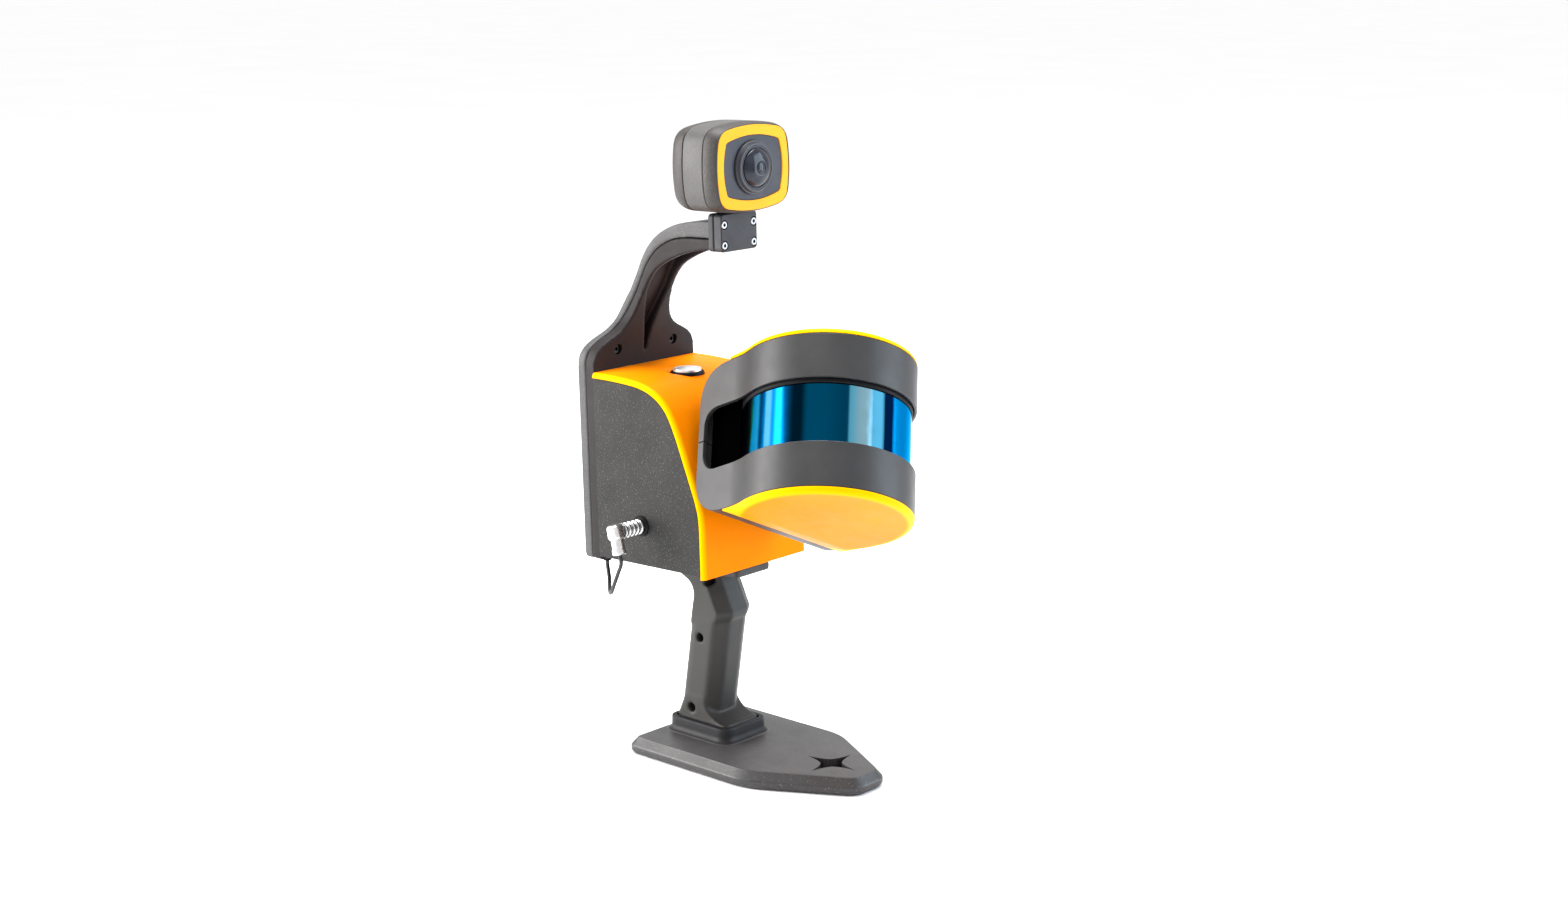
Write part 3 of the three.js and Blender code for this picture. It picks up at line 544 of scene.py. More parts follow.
def painted_reflection_bands():
    """Painted reflections on the mirror coat, as tints round the ring: (degrees from the front, colour)."""
    void, night, navy = (0.0, 0.002, 0.006), (0.0, 0.009, 0.02), (0.0, 0.07, 0.2)
    deep, teal, azure = (0.0, 0.04, 0.088), (0.0, 0.058, 0.122), (0.0, 0.25, 0.62)
    dusk, mid, bright = (0.001, 0.03, 0.085), (0.002, 0.1, 0.22), (0.03, 0.29, 0.55)
    mist, pale, reflected_brown = (0.014, 0.052, 0.075), (0.022, 0.088, 0.125), (0.05, 0.02, 0.008)
    sky, ice = (0.065, 0.33, 0.48), (0.21, 0.38, 0.46)
    return [
        (-180, night), (-118, night), (-111, reflected_brown), (-108, reflected_brown), (-105, bright), (-98, bright),
        (-96, dusk), (-91, dusk), (-90, mist), (-86, mist), (-85, dusk), (-82, dusk),
        (-81, mid), (-77, mid), (-75, navy), (-68, night), (-62, night), (-58, teal),
        (-46, teal), (-31, deep), (-29.5, sky), (-22, ice), (-17, ice), (-13, pale),
        (-5, pale), (-3, void), (5, void), (7, azure), (16, azure), (34, sky),
        (120, navy), (180, night),
    ]


def window_painted_reflections():
    """Blue mirror coat on the ring window, with painted reflections: its tint changes in soft upright bands round
    the ring.
    """
    shader = Shader("window_painted_reflections", Metallic=1.0, Specular_Tint=(0.2, 0.5, 0.85, 1))
    back = Vector(JOINTS["head_spin"]["axis"]).normalized()
    up = Vector(JOINTS["sensor_spin"]["axis"]).normalized()
    away = shader.vector("SUBTRACT", shader.place, JOINTS["head_spin"]["pos_m"])
    across = shader.vector("DOT_PRODUCT", away, back.cross(up).normalized())
    ahead = shader.vector("DOT_PRODUCT", away, -back)
    angle = shader.math("ARCTAN2", across, ahead)
    turn = shader.math("ADD", shader.math("DIVIDE", angle, tau), 0.5)
    waver = shader.math("MULTIPLY", shader.math("SUBTRACT", shader.noise(60, 2), 0.5), 0.006)
    # The bands are painted reflections of the studio, set by the angle round the head's axis.
    stops = [(0.5 + degrees / 360, tint) for degrees, tint in painted_reflection_bands()]
    shader.colour(shader.ramp(shader.math("ADD", turn, waver), *stops))
    shader.roughness(shader.ramp(shader.noise(12, 4), (0.35, 0.14), (0.8, 0.22)))
    shader.bump(shader.noise(20, 2), 0.05, 0.02)
    return shader.material


def lens_glass():
    """Fish-eye dome: dark polished glass with a coated bloom and faint smears."""
    shader = Shader("lens_glass", Specular_IOR_Level=0.3, IOR=1.45)
    colour = (0.006, 0.0075, 0.013)
    bloom = tuple(c * 2.2 + 0.01 for c in colour)
    shader.colour(shader.ramp(shader.noise(7, 2), (0.3, colour), (0.8, bloom)))
    shader.roughness(shader.ramp(shader.noise(3, 5), (0.4, 0.06), (0.8, 0.06 + 0.1)))
    shader.bump(shader.noise(2.5, 2), 0.05, 0.01)
    return shader.material


def board_green():
    """Circuit board: green lacquer over lighter tracks."""
    shader = Shader("board_green", Specular_IOR_Level=0.5)
    tracks = shader.ramp(shader.cells(3), (0.1, (0.01, 0.09, 0.03)), (0.3, (0.02, 0.16, 0.06)))
    shader.colour(tracks)
    shader.roughness(shader.ramp(shader.noise(4), (0.3, 0.4), (0.7, 0.6)))
    shader.bump(shader.cells(2), 0.3, 0.05)
    return shader.material


def make_materials():
    """Every look by its name: colours, then roughness, grain, depth, speckle and gloss."""
    # The yellow tint given to the box's side rims and the caps' rims is a painted highlight.
    orange, amber, highlight_yellow = (0.82, 0.215, 0.0), (0.8, 0.19, 0.0), (0.84, 0.4, 0.0)
    box_rim_highlight, cap_rim_highlight = (side_reach, 0.435, 0.462, highlight_yellow), (head_reach, 0.48, 0.505, highlight_yellow)
    return {
        "base": moulded("base_coat", (0.0175, 0.017, 0.0182), 0.42, 0.8, 0.05, 0.9, 0.55),
        # Painted light from above: the slab's top coat is a lighter copy of the side coat.
        "base_top_lit": moulded("base_top_painted_light", (0.047, 0.046, 0.0465), 0.42, 0.8, 0.04, 0.25, 0.6),
        "collar": moulded("collar_coat", (0.0105, 0.0104, 0.0125), 0.5, 0.5, 0.03, 0.0, 0.25),
        "handle": moulded("handle_coat", (0.0185, 0.018, 0.0172), 0.5, 0.5, 0.03, 0.0, 0.3),
        "shell_orange": gloss_shell("orange_shell", orange, amber, 0.36, 0.03, box_rim_highlight),
        "cap_orange": gloss_shell("orange_cap", orange, amber, 0.4, 0.08, cap_rim_highlight),
        "cheek": moulded("cheek_grain", (0.014, 0.0136, 0.0133), 0.6, 0.7, 0.08, 1.0, 0.2),
        # The reddish tint of this dark plastic is a painted reflection of the orange shell.
        "dark_plastic": moulded("dark_grain_reflection_tint", (0.0095, 0.0068, 0.0074), 0.55, 0.5, 0.06, 0.15, 0.18),
        "arm_grey": moulded("arm_grain", (0.044, 0.0432, 0.0445), 0.55, 0.6, 0.09, 0.35, 0.35),
        "clamp": moulded("clamp_grain", (0.014, 0.0148, 0.0185), 0.55, 0.5, 0.06, 0.25, 0.35),
        "head_grey": moulded("head_satin", (0.0225, 0.0222, 0.0232), 0.42, 0.35, 0.015, 0.0, 0.3),
        "black": moulded("black_satin", (0.004, 0.004, 0.005), 0.5, 0.5, 0.02, 0.0, 0.12),
        # Painted shade: a black with no gloss, darker than any plastic, so the slot in the head reads as deep
        # shade.
        "shade_black": moulded("painted_shade_black", (0.0003, 0.0003, 0.0004), 0.8, 0.5, 0.02, 0.0, 0.0),
        "cable_black": moulded("cable_rubber", (0.014, 0.0135, 0.013), 0.55, 0.6, 0.04, 0.0, 0.4),
        "steel": metal("bright_steel", (0.72, 0.72, 0.72), 0.26),
        "plug": metal("plated_steel", (0.66, 0.66, 0.67), 0.28, (1, 1, 1)),
        "button": metal("satin_steel", (0.8, 0.8, 0.81), 0.42, (1, 1, 1)),
        "screw": metal("screw_steel", (0.3, 0.3, 0.31), 0.36),
        "dark_screw": metal("black_oxide", (0.03, 0.028, 0.028), 0.4),
        "alloy": metal("machined_alloy", (0.34, 0.34, 0.35), 0.38),
        "ring_yellow": gloss_shell("ring_yellow", (0.78, 0.37, 0.03), (0.75, 0.345, 0.025), 0.5, 0.1),
        "camera_grey": moulded("camera_leather", (0.05, 0.048, 0.0465), 0.5, 0.9, 0.16, 0.12, 0.35),
        "camera_dark": moulded("camera_dark_leather", (0.022, 0.0195, 0.018), 0.5, 0.9, 0.2, 0.3, 0.35),
        "face_grey": moulded("face_satin", (0.018, 0.0188, 0.028), 0.5, 0.4, 0.02, 0.0, 0.35),
        "barrel": moulded("barrel_satin", (0.03, 0.031, 0.04), 0.4, 0.4, 0.01, 0.0, 0.3),
        "lens": lens_glass(),
        "window": window_painted_reflections(),
        "board": board_green(),
    }


MATERIALS = make_materials()


# ---- base ----
BASE = {"half": 48.4, "rear": 80.9, "taper": -18.5, "nose": -79.2, "nose_half": 13.3}
STAR = {"y": -47, "tip": 19, "waist": 4.6, "hollow": 1.25, "swing": 0.2}
SOCKET = {"half": 20, "front": 22, "rear": 72.5, "wall": 3, "radius": 8, "floor": 10.6}
# Levels (height, inset) of the slab's edge and of the collar's wall.
SLAB_EDGE = [
    (0, 2.3), (0.3, 1.6), (1.6, 0.4), (2.4, 0.05), (3, 0), (5, 0), (5.6, 0.2), (6.1, 0.6),
    (9.7, 3.9), (10.3, 4.35), (10.6, 5),
]
COLLAR_WALL = [
    (9.5, -3.4), (10.65, -3.2), (11.0, -2.2), (11.6, -1.3), (12.6, -0.5), (13.8, -0.1),
    (15, 0), (18.9, 0), (19.6, 0.25), (20, 0.9),
]
# Where the base's paint changes: faces above the first height (mm) are the collar's, and
# faces above the second that look up are the slab's top, a lighter copy of the side coat as painted light from
# above.
PAINT = {"collar": 10.9, "top": 10.4, "looks_up": 0.9}


def star_outline():
    """Four long thin points round a square waist, with hollow flanks."""
    points = []
    corner = sqrt(2) * STAR["waist"]
    swing = STAR["swing"]
    for quarter in range(4):
        turn = quarter * pi / 2
        tip = polar(STAR["tip"], turn)
        waist = polar(corner, turn + pi / 4)
        following = polar(STAR["tip"], turn + pi / 2)
        for start, end, angle in ((tip, waist, swing), (waist, following, pi / 2 - swing)):
            shoulder = polar(corner * STAR["hollow"], turn + angle)
            points += bend(start, shoulder, end, 6)[:-1]
    return [p + Vector((0, STAR["y"])) for p in points]


def paint_base(plate):
    """The slab's sides and the collar each have their own coat; the slab's top gets a lighter copy of the side
    coat, painted light from above.
    """
    for name in ("base_top_lit", "collar"):
        plate.data.materials.append(MATERIALS[name])
    for face in plate.data.polygons:
        if face.center.z > PAINT["collar"] * MM:
            face.material_index = 2
        elif face.center.z > PAINT["top"] * MM and face.normal.z > PAINT["looks_up"]:
            face.material_index = 1


def make_base():
    half, rear, nose = BASE["half"], BASE["rear"], BASE["nose"]
    plan = rounded(mirrored([(BASE["nose_half"], nose, 8), (half, BASE["taper"], 12), (half, rear, 8)]), 10)
    wall = SOCKET["wall"]
    foot = rectangle(-SOCKET["half"], SOCKET["half"], SOCKET["front"], SOCKET["rear"], SOCKET["radius"], 10)
    pocket = prism(rectangle(wall - SOCKET["half"], SOCKET["half"] - wall, SOCKET["front"] + wall,
                             SOCKET["rear"] - wall, SOCKET["radius"] - wall, 10), SOCKET["floor"], 30)
    whole = join(stacked(plan, SLAB_EDGE), stacked(foot, COLLAR_WALL))
    whole = cut(whole, pocket, prism(star_outline(), -5, 20))
    paint_base(piece(bevelled(whole, 0.35, 2, 50), "base_plate", "base", 28, ROW))


# ---- handle ----
HANDLE_LAP = 0.02


def make_handle():
    """Both grip halves as one moulding, then parted on the middle plane."""
    left = at(cad_copy("handle_shell_left", SCANNER), GAP / 2 + HANDLE_LAP)
    right = at(cad_copy("handle_shell_right", SCANNER), -GAP / 2 - HANDLE_LAP)
    whole = softened(join(left, right), 8)
    for node, low, high in (("handle_shell_left", -60, 0), ("handle_shell_right", 0, 60)):
        half = linked(node, whole.data.copy())
        keep = prism(rectangle(low, high, -50, 150), -20, 160)
        piece(common(half, keep), node, "handle", 60, weighted=False)
    bpy.data.objects.remove(whole)


# ---- main box ----
BOX = {"half": 47, "front": 14.1, "rear": 104.3, "bottom": 123, "wall": 3.3, "edge": 2.6}
CHEEK = {"inner": 44.2, "outer": 46.6, "bottom": 124.8}
PORT = {"x": -46.6, "y": 66.3, "z": 149.8, "turn": 11, "sleeve": 13.6}
BUTTON = {"y": 68, "seat": 236.8, "travel": 1}
RIM = smooth_path([
    (BOX["rear"], 241.4), (94, 241.2), (84, 240.8), (74, 240.1), (65.6, 239.1), (54.6, 236.0),
    (45.9, 230.8), (39.9, 224.6), (35.4, 217), (31.5, 208.5), (26, 194.5), (20.6, 180.6),
    (17.2, 171.4), (15, 163), (14.2, 154), (BOX["front"], 144), (BOX["front"], 133),
    (BOX["front"], BOX["bottom"]),
], 1.6)


def sheet_section(half, wall, edge):
    """Section of the wrap-round shell: (x, depth), its outer edges well rounded."""
    lip = 0.4
    section = []
    for side in (-1, 1):
        arc = []
        for k in range(7):
            angle = k / 6 * pi / 2
            arc.append((side * (half - edge + edge * cos(angle)), edge - edge * sin(angle)))
        if side > 0:
            arc.reverse()
        section += arc
    section += [(half, wall - lip), (half - lip, wall), (lip - half, wall), (-half, wall - lip)]
    return section


def head_axis_place(built):
    """From the box's frame to the turning axis of the head."""
    return moved(built, SCANNER.inverted() @ AXLE)


def make_shell():
    """The orange shell, with the button's boss and dish and the mouth for the head's bearings."""
    section = sheet_section(BOX["half"], BOX["wall"], BOX["edge"])
    rings = []
    for spot, inward in zip(RIM, normals(RIM)):
        rings.append([Vector((x, spot.x + inward.x * depth, spot.y + inward.y * depth))
                      for x, depth in section])
    seat, y = BUTTON["seat"], BUTTON["y"]
    shell = loft(rings)
    dish = at(turned([(0, seat), (10.9, seat), (10.9, 238.6), (13.2, 239.6), (17, 243), (0, 243)]), 0, y)
    well = at(rod(7.3, 220, 250), 0, y)
    boss = at(turned([(11.4, 231), (11.4, 237.6), (7.3, 237.6), (7.3, 231), (11.4, 231)]), 0, y)
    mouth = head_axis_place(along_back(rod(17.3, 60, 100)))
    shell = cut(join(shell, boss), dish, well, mouth)
    piece(bevelled(shell, 0.3, 2, 50), "body_shell", "shell_orange", 30)


def make_cheeks():
    """Side panels inside the shell's rim; the left one has the port's hole."""
    inside = shifted(RIM, BOX["wall"] + GAP)
    kept = [p for p in inside if p.x < BOX["rear"] - 0.5 and p.y > CHEEK["bottom"] + 0.5]
    line = [Vector((BOX["rear"], kept[0].y)), *kept, Vector((kept[-1].x, CHEEK["bottom"])),
            Vector((BOX["rear"], CHEEK["bottom"]))]
    left = prism(line, -CHEEK["outer"], -CHEEK["inner"], ACROSS)
    hole = at(along_left(rod(5.4, 30, 60)), 0, PORT["y"], PORT["z"])
    piece(bevelled(cut(left, hole), 0.5, 3), "cheek_left", "cheek")
    right = prism(line, CHEEK["inner"], CHEEK["outer"], ACROSS)
    piece(bevelled(right, 0.5, 3), "cheek_right", "cheek")


def make_button():
    floor = BUTTON["seat"] + GAP
    bezel = turned([
        (4.3, floor - 6), (7, floor - 6), (7, floor), (10.6, floor), (10.6, floor + 1.9),
        (10.3, floor + 2.5), (9.8, floor + 2.7), (9.4, floor + 2.4), (9.3, floor + 1.2),
        (4.3, floor + 1.2), (4.3, floor - 6),
    ], 96)
    # The bezel takes the black coat as painted shade: it stands for the dark shade line round the button's lip.
    piece(at(bezel, 0, BUTTON["y"]), "button_bezel", "black")
    rest = floor + 1.2 + BUTTON["travel"] + 0.2
    cap = turned([
        (0, floor - 4), (3.9, floor - 4), (3.9, rest), (8.7, rest), (8.95, rest + 0.3), (9, rest + 1.4),
        (8.8, rest + 1.8), (8.2, rest + 2.05), (7.4, rest + 2.1), (6.9, rest + 1.9), (6.3, rest + 1.95),
        (4.5, rest + 2.35), (2.2, rest + 2.7), (0, rest + 2.8),
    ], 96)
    piece(at(cap, 0, BUTTON["y"]), "power_button", "button")


# ---- rear plate and arm ----
PLATE = {"half": 44.8, "bottom": 121.5, "front": 104.6, "seam": 112.2, "rear": 119.5}
ARM = {"half": 13, "end": 32.3, "groove": 9.2, "groove_open": 6, "groove_floor": 1.3}
# Half width of the groove in the arm's front, and the height it is reached at.
GROOVE_LINE = [(0.4, 249), (2.6, 262), (5.8, 275), (ARM["groove"], 289), (ARM["groove"], 360)]


def plate_line(side, *heights):
    """The upright start of a line (y, z) that runs up one side of the plate and along the arm."""
    return [(PLATE[side], z) for z in (PLATE["bottom"], 180, *heights)]


REAR_LINE = plate_line("rear", 238, 250) + [
    (117.4, 260), (113, 269), (108.6, 280), (102.8, 290.2), (96.6, 301.4), (91.2, 311.6), (84.6, 320),
    (75.2, 327), (63.2, 332), (48, 334.8), (ARM["end"], 336),
]
SEAM_LINE = plate_line("seam", 238, 250) + [
    (110.8, 260), (107, 269.5), (102, 280), (94.3, 295), (87.5, 307), (79, 316), (67.5, 322), (56, 324.4),
    (ARM["end"], 325),
]
FRONT_LINE = plate_line("front", 236, 243) + [
    (103.2, 253.5), (100.8, 263), (97.6, 273), (94.2, 281.4), (90.2, 290), (85.6, 297.6), (80, 303.6),
    (72, 308.4), (59, 313.6), (45, 317), (ARM["end"], 318.3),
]
ARM_SCREWS = {"left": -24.6, "right": 24.6}
ARM_SCREW_Z = 253.3


def arm_silhouette():
    half = rounded(mirrored([
        (PLATE["half"], PLATE["bottom"], 3), (PLATE["half"], 248, 5), (41.6, 255, 5), (34, 260, 5),
        (24.6, 264, 5), (18.4, 270, 5), (15, 278, 5), (ARM["half"], 290, 6), (ARM["half"], 345),
    ]), 6)
    return frontal(half, 20, 140)


def front_bore(radius, y0, y1, x, z):
    return at(along_back(rod(radius, y0, y1)), x, 0, z)


def side_band(inner, outer):
    return prism([*inner, *reversed(outer)], -60, 60, ACROSS)


def cap_screw(head, tip, radius, height, socket):
    """Socket-head screw along +Z from its head's face: (head, tip) are distances."""
    grip = 1.4
    body = turned([
        (0, head), (radius - 0.35, head), (radius, head + 0.35), (radius, head + height),
        (grip, head + height), (grip, tip - 0.3), (grip - 0.3, tip), (0, tip),
    ], 36)
    return cut(body, rod(socket, head - 1, head + height * 0.6, 6))


def make_arm():
    rear, seam, front = [smooth_path(line, 3) for line in (REAR_LINE, SEAM_LINE, FRONT_LINE)]
    back = common(side_band(shifted(seam, -GAP / 2), rear), arm_silhouette())
    face = common(side_band(front, shifted(seam, GAP / 2)), arm_silhouette())
    wedge = frontal([Vector(p) for p in mirrored(GROOVE_LINE)], 40, 140)
    opening, floor = shifted(front, ARM["groove_open"]), shifted(seam, ARM["groove_floor"])
    groove = common(prism([*opening, *reversed(floor)], -20, 20, ACROSS), wedge)
    face = cut(face, groove)
    softened(face, 5)
    for x in ARM_SCREWS.values():
        face = cut(face, front_bore(3.3, 90, PLATE["front"] + 3, x, ARM_SCREW_Z))
    entry = at(rod(3.3, 110, 126), GLAND["x"], GLAND["y"])
    piece(cut(face, entry), "arm_front_shell", "dark_plastic", 55, weighted=False)
    softened(back, 16)
    piece(back, "arm_rear_shell", "arm_grey", 60, weighted=False)
    head = PLATE["front"] + 0.5
    for place, x in ARM_SCREWS.items():
        screw = along_back(cap_screw(head, 117, 2.9, 2.2, 1.5))
        piece(at(screw, x, 0, ARM_SCREW_Z), f"arm_screw_{place}", "dark_screw")


# ---- camera clamp ----
CLAMP = {"front": 20.9, "seam": 27.45, "rear": 32, "half": 16, "bottom": 317.7, "top": 340.7}
CLAMP_SCREWS = {
    "top_left": (-13, 334.2), "top_right": (13, 334.2),
    "bottom_left": (-13, 321.8), "bottom_right": (13, 321.8),
}


def make_clamp():
    front, seam, rear = CLAMP["front"], CLAMP["seam"], CLAMP["rear"]
    block = rectangle(-CLAMP["half"], CLAMP["half"], CLAMP["bottom"], CLAMP["top"], 3)
    halves = {"clamp_front": (front, seam - GAP / 2), "clamp_rear": (seam + GAP / 2, rear)}
    for node, (y0, y1) in halves.items():
        half = bevelled(frontal(block, y0, y1), 0.9, 3)
        drills = [at(rod(3.5, 322, 350), 0, seam)]
        for x, z in CLAMP_SCREWS.values():
            drills.append(front_bore(2.9, front - 5, front + 3.2, x, z))
            drills.append(front_bore(1.7, front - 5, rear + 5, x, z))
        piece(bevelled(cut(half, *drills), 0.2, 2, 60), node, "clamp")
    for place, (x, z) in CLAMP_SCREWS.items():
        screw = along_back(cap_screw(front, rear - 0.4, 2.4, 2.9, 1.25))
        piece(at(screw, x, 0, z), f"clamp_screw_{place}", "screw")
    post = turned([(0, 323), (2.9, 323), (3.2, 323.3), (3.2, CLAMP["top"] + 0.1), (0, CLAMP["top"] + 0.1)])
    piece(at(post, 0, seam), "camera_post", "dark_plastic")


# ---- panoramic camera ----
CAMERA = {"y": 26, "z": 368.1, "width": 34.3, "height": 27.1, "depth": 17.9, "frame": 8}
BOW = {"side": 2.8, "top": 3.6, "corner": 0.25}


def camera_rings(a, b, radius, levels):
    """Bowed rings at (distance towards the front, inset)."""
    rings = []
    for out, inset in levels:
        loop = bowed(a - inset, b - inset, radius - inset * 0.6)
        rings.append([FRONTAL @ Vector((p.x, p.y, out)) for p in loop])
    return rings


def camera_place(built, facing):
    turn = Matrix.Rotation(facing, 4, "Z")
    return moved(built, Matrix.Translation((0, CAMERA["y"], CAMERA["z"])) @ turn)


def make_camera_half(place, facing):
    a, b, depth = CAMERA["width"], CAMERA["height"], CAMERA["depth"]
    seam = CAMERA["frame"] + GAP / 2
    floor = depth - 2.1
    shell = loft(camera_rings(a, b, 9, [
        (seam, 0.6), (seam + 0.2, 0.2), (seam + 0.6, 0), (depth - 7, 0.05), (depth - 5.2, 0.25),
        (depth - 3.4, 0.65), (depth - 1.8, 1.15), (depth - 0.6, 1.65), (depth - 0.15, 1.95),
        (depth, 2.25),
    ]))
    pocket = loft(camera_rings(a - 2.6, b - 1.6, 7, [(floor, 0), (depth + 5, 0)]))
    piece(camera_place(cut(shell, pocket), facing), f"camera_shell_{place}", "camera_dark", 40)
    ring = loft(camera_rings(a - 2.9, b - 1.9, 7, [(floor + GAP, 0), (depth - 0.25, 0), (depth, 0.3)]))
    opening = loft(camera_rings(a - 8.3, b - 7.7, 2, [(floor - 5, 0), (depth + 5, 0)]))
    ring = camera_place(bevelled(cut(ring, opening), 0.15, 2, 50), facing)
    piece(ring, f"camera_ring_{place}", "ring_yellow", 50)
    plate = loft(camera_rings(a - 8.6, b - 8, 2, [(floor + GAP, 0), (depth - 0.7, 0)]))
    piece(camera_place(plate, facing), f"camera_face_{place}", "face_grey")
    make_lens(place, facing, depth - 0.4)


def make_lens(place, facing, base):
    """Stepped barrel and its glass: a wide dome with a small crown."""
    barrel = along_front(turned([
        (0, base), (16.2, base), (16.2, base + 0.9), (15.9, base + 1.3), (15.1, base + 1.3),
        (14.9, base + 1.7), (14.7, base + 2.6), (14.3, base + 3), (13.4, base + 3), (13.2, base + 2.7),
        (12.9, base + 2.7), (12.7, base + 3), (12.3, base + 3), (12.0, base + 2.7),
        (11.9, base + 2.2), (0, base + 2.2),
    ], 96))
    piece(camera_place(barrel, facing), f"lens_barrel_{place}", "barrel", 28)
    dome = [(0, base + 2.5), (11.4, base + 2.5), (11.5, base + 3)]
    for k in range(1, 12):
        angle = radians(5 + 5.6 * k)
        dome.append((11.6 * cos(angle), base + 2.6 + 4.3 * sin(angle)))
    crown = dome[-1][1]
    dome += [(4.2, crown), (4.05, crown - 0.35), (3.8, crown - 0.35)]
    for k in range(1, 9):
        angle = k / 8 * pi / 2
        dome.append((3.7 * cos(angle) if k < 8 else 0, crown - 0.35 + 1.1 * sin(angle)))
    glass = camera_place(along_front(turned(dome, 96)), facing)
    piece(glass, f"lens_dome_{place}", "lens", 40)


def make_camera():
    half = CAMERA["frame"]
    a, b = CAMERA["width"], CAMERA["height"]
    band = loft(camera_rings(a, b, 9, [
        (-half, 0.6), (0.2 - half, 0.2), (0.6 - half, 0), (half - 0.6, 0), (half - 0.2, 0.2), (half, 0.6),
    ]))
    frame_hoop = cut(band, loft(camera_rings(a - 2.8, b - 2.8, 7, [(-half - 5, 0), (half + 5, 0)])))
    piece(camera_place(frame_hoop, 0), "camera_frame", "camera_grey", 40)
    make_camera_half("front", 0)
    make_camera_half("rear", pi)


# ---- plug and camera cable ----
GLAND = {"x": -36, "y": 108.4, "bottom": 119.6}
# The cable's way down and back up: (share of the way, height, how far it bows out).
CABLE_SAG = [
    (0.07, 124, 0.8), (0.15, 117, 2.4), (0.3, 109, 3.4), (0.5, 105.6, 3), (0.7, 106.6, 1.6),
    (0.88, 110.4, 0.2),
]
CABLE_BOW = Vector((-0.67, 0.74, 0))
CABLE_RADIUS = 1.25


def tube(path, radius):
    """A tube along a path, turned as little as possible from ring to ring."""
    sides = 16
    rings, side = [], Vector((1, 0, 0))
    for i, here in enumerate(path):
        along = (path[min(i + 1, len(path) - 1)] - path[max(i - 1, 0)]).normalized()
        side = (side - along * side.dot(along)).normalized()
        over = along.cross(side)
        rings.append([here + side * radius * cos(tau * k / sides)
                      + over * radius * sin(tau * k / sides) for k in range(sides)])
    return loft(rings)


def port_place(built):
    return at(along_left(built), 0, PORT["y"], PORT["z"])


def make_port(face):
    socket = turned([
        (0, 30), (4.6, 30), (4.6, face), (6.4, face), (6.4, face + 0.7), (6, face + 1.2), (5.6, face + 1.5),
        (2.7, face + 1.5), (2.6, face - 7), (0, face - 7),
    ])
    piece(port_place(socket), "port_socket", "black")


def make_barrel(face, start, end):
    """The plug's straight part, with four deep ribs."""
    ribs = [(0, face - 6.5), (2.3, face - 6.5), (2.3, start), (4.5, start), (4.8, start + 0.3)]
    for i in range(4):
        rib = start + 1.4 + i * 3.4
        ribs += [(4.8, rib - 0.2), (4.5, rib + 0.2), (3.6, rib + 0.5), (3.3, rib + 0.8), (3.3, rib + 1.1),
                 (3.6, rib + 1.4), (4.5, rib + 1.7), (4.8, rib + 2.1)]
    ribs += [(4.8, end - 0.3), (4.5, end), (0, end)]
    piece(port_place(turned(ribs, 64)), "plug_barrel", "plug", 40)


def make_elbow(x, turn):
    """The knuckle and the sleeve that leads the cable down."""
    tip = -PORT["sleeve"]
    knuckle = bevelled(prism(rectangle(-4.6, 4.6, -4.6, 4.6, 3.6), -4.6, 5), 2.2, 5)
    sleeve = turned([
        (0, tip), (3.9, tip), (4.3, tip + 0.4), (4.3, tip + 3), (4.1, tip + 3.4), (3.9, tip + 3.8),
        (3.9, -3.5), (0, -3.5),
    ], 48)
    elbow = moved(join(knuckle, sleeve), Matrix.Translation((x, PORT["y"], PORT["z"])) @ turn)
    piece(elbow, "plug_elbow", "plug", 40)


def make_cable(x, turn):
    """From the elbow's sleeve down, under the box's edge and up into the gland."""
    down = turn.to_3x3() @ Vector((0, 0, -1))
    leave = Vector((x, PORT["y"], PORT["z"])) + down * (PORT["sleeve"] + GAP)
    low = GLAND["bottom"] - GAP
    enter = Vector((GLAND["x"], GLAND["y"], low))
    route = [leave, leave + down * 5]
    for share, height, bow in CABLE_SAG:
        spot = leave.lerp(enter, share) + CABLE_BOW * bow
        route.append(Vector((spot.x, spot.y, height)))
    route += [Vector((GLAND["x"], GLAND["y"], low - 3)), enter]
    piece(tube(smooth_path(route, 1.2), CABLE_RADIUS), "camera_cable", "cable_black")


def make_gland():
    bottom, top = GLAND["bottom"], 125.6
    gland = turned([
        (0, bottom), (2.3, bottom), (2.8, bottom + 0.6), (3, bottom + 1.4), (3, top), (0, top),
    ], 40)
    piece(at(gland, GLAND["x"], GLAND["y"]), "cable_gland", "black")


def make_plug():
    face = -PORT["x"] + GAP
    start = face + 1.8
    end = start + 15
    make_port(face)
    make_barrel(face, start, end)
    elbow_x = -(end + GAP + 4.6)
    turn = Matrix.Rotation(radians(-PORT["turn"]), 4, "X")
    make_elbow(elbow_x, turn)
    make_cable(elbow_x, turn)
    make_gland()


# ---- turning head ----
SHELL = {"radius": 53.3, "side": 48.4, "rear": 60.5, "height": 47.3, "round": 25, "wall": 3,
         "lid": 3.8, "flank": 31, "slot": 19.7, "slot_rear": 55.5, "slot_round": 12}
PUCK = {"radius": 51, "glass": 50.2, "top": 36, "glass_top": 17, "glass_bottom": -19.5}
CAP = {"rear": 35.5, "thick": 3.6, "bevel": 4, "fall": 11, "flat": 12}


def head_plan(radius, side, rear):
    """Plan of the head: a round front that runs into a square rear block."""
    steps = 96
    turn = radians(17)
    meet = (radius - side * cos(turn)) / sin(turn)
    flank = bend(Vector((side, SHELL["flank"])), Vector((side, meet)), polar(radius, turn), 12)
    arc = [polar(radius, turn - (pi + 2 * turn) * k / steps) for k in range(1, steps)]
    far = [Vector((-p.x, p.y)) for p in reversed(flank)]
    return [Vector((side, rear)), *flank, *arc, *far, Vector((-side, rear))]


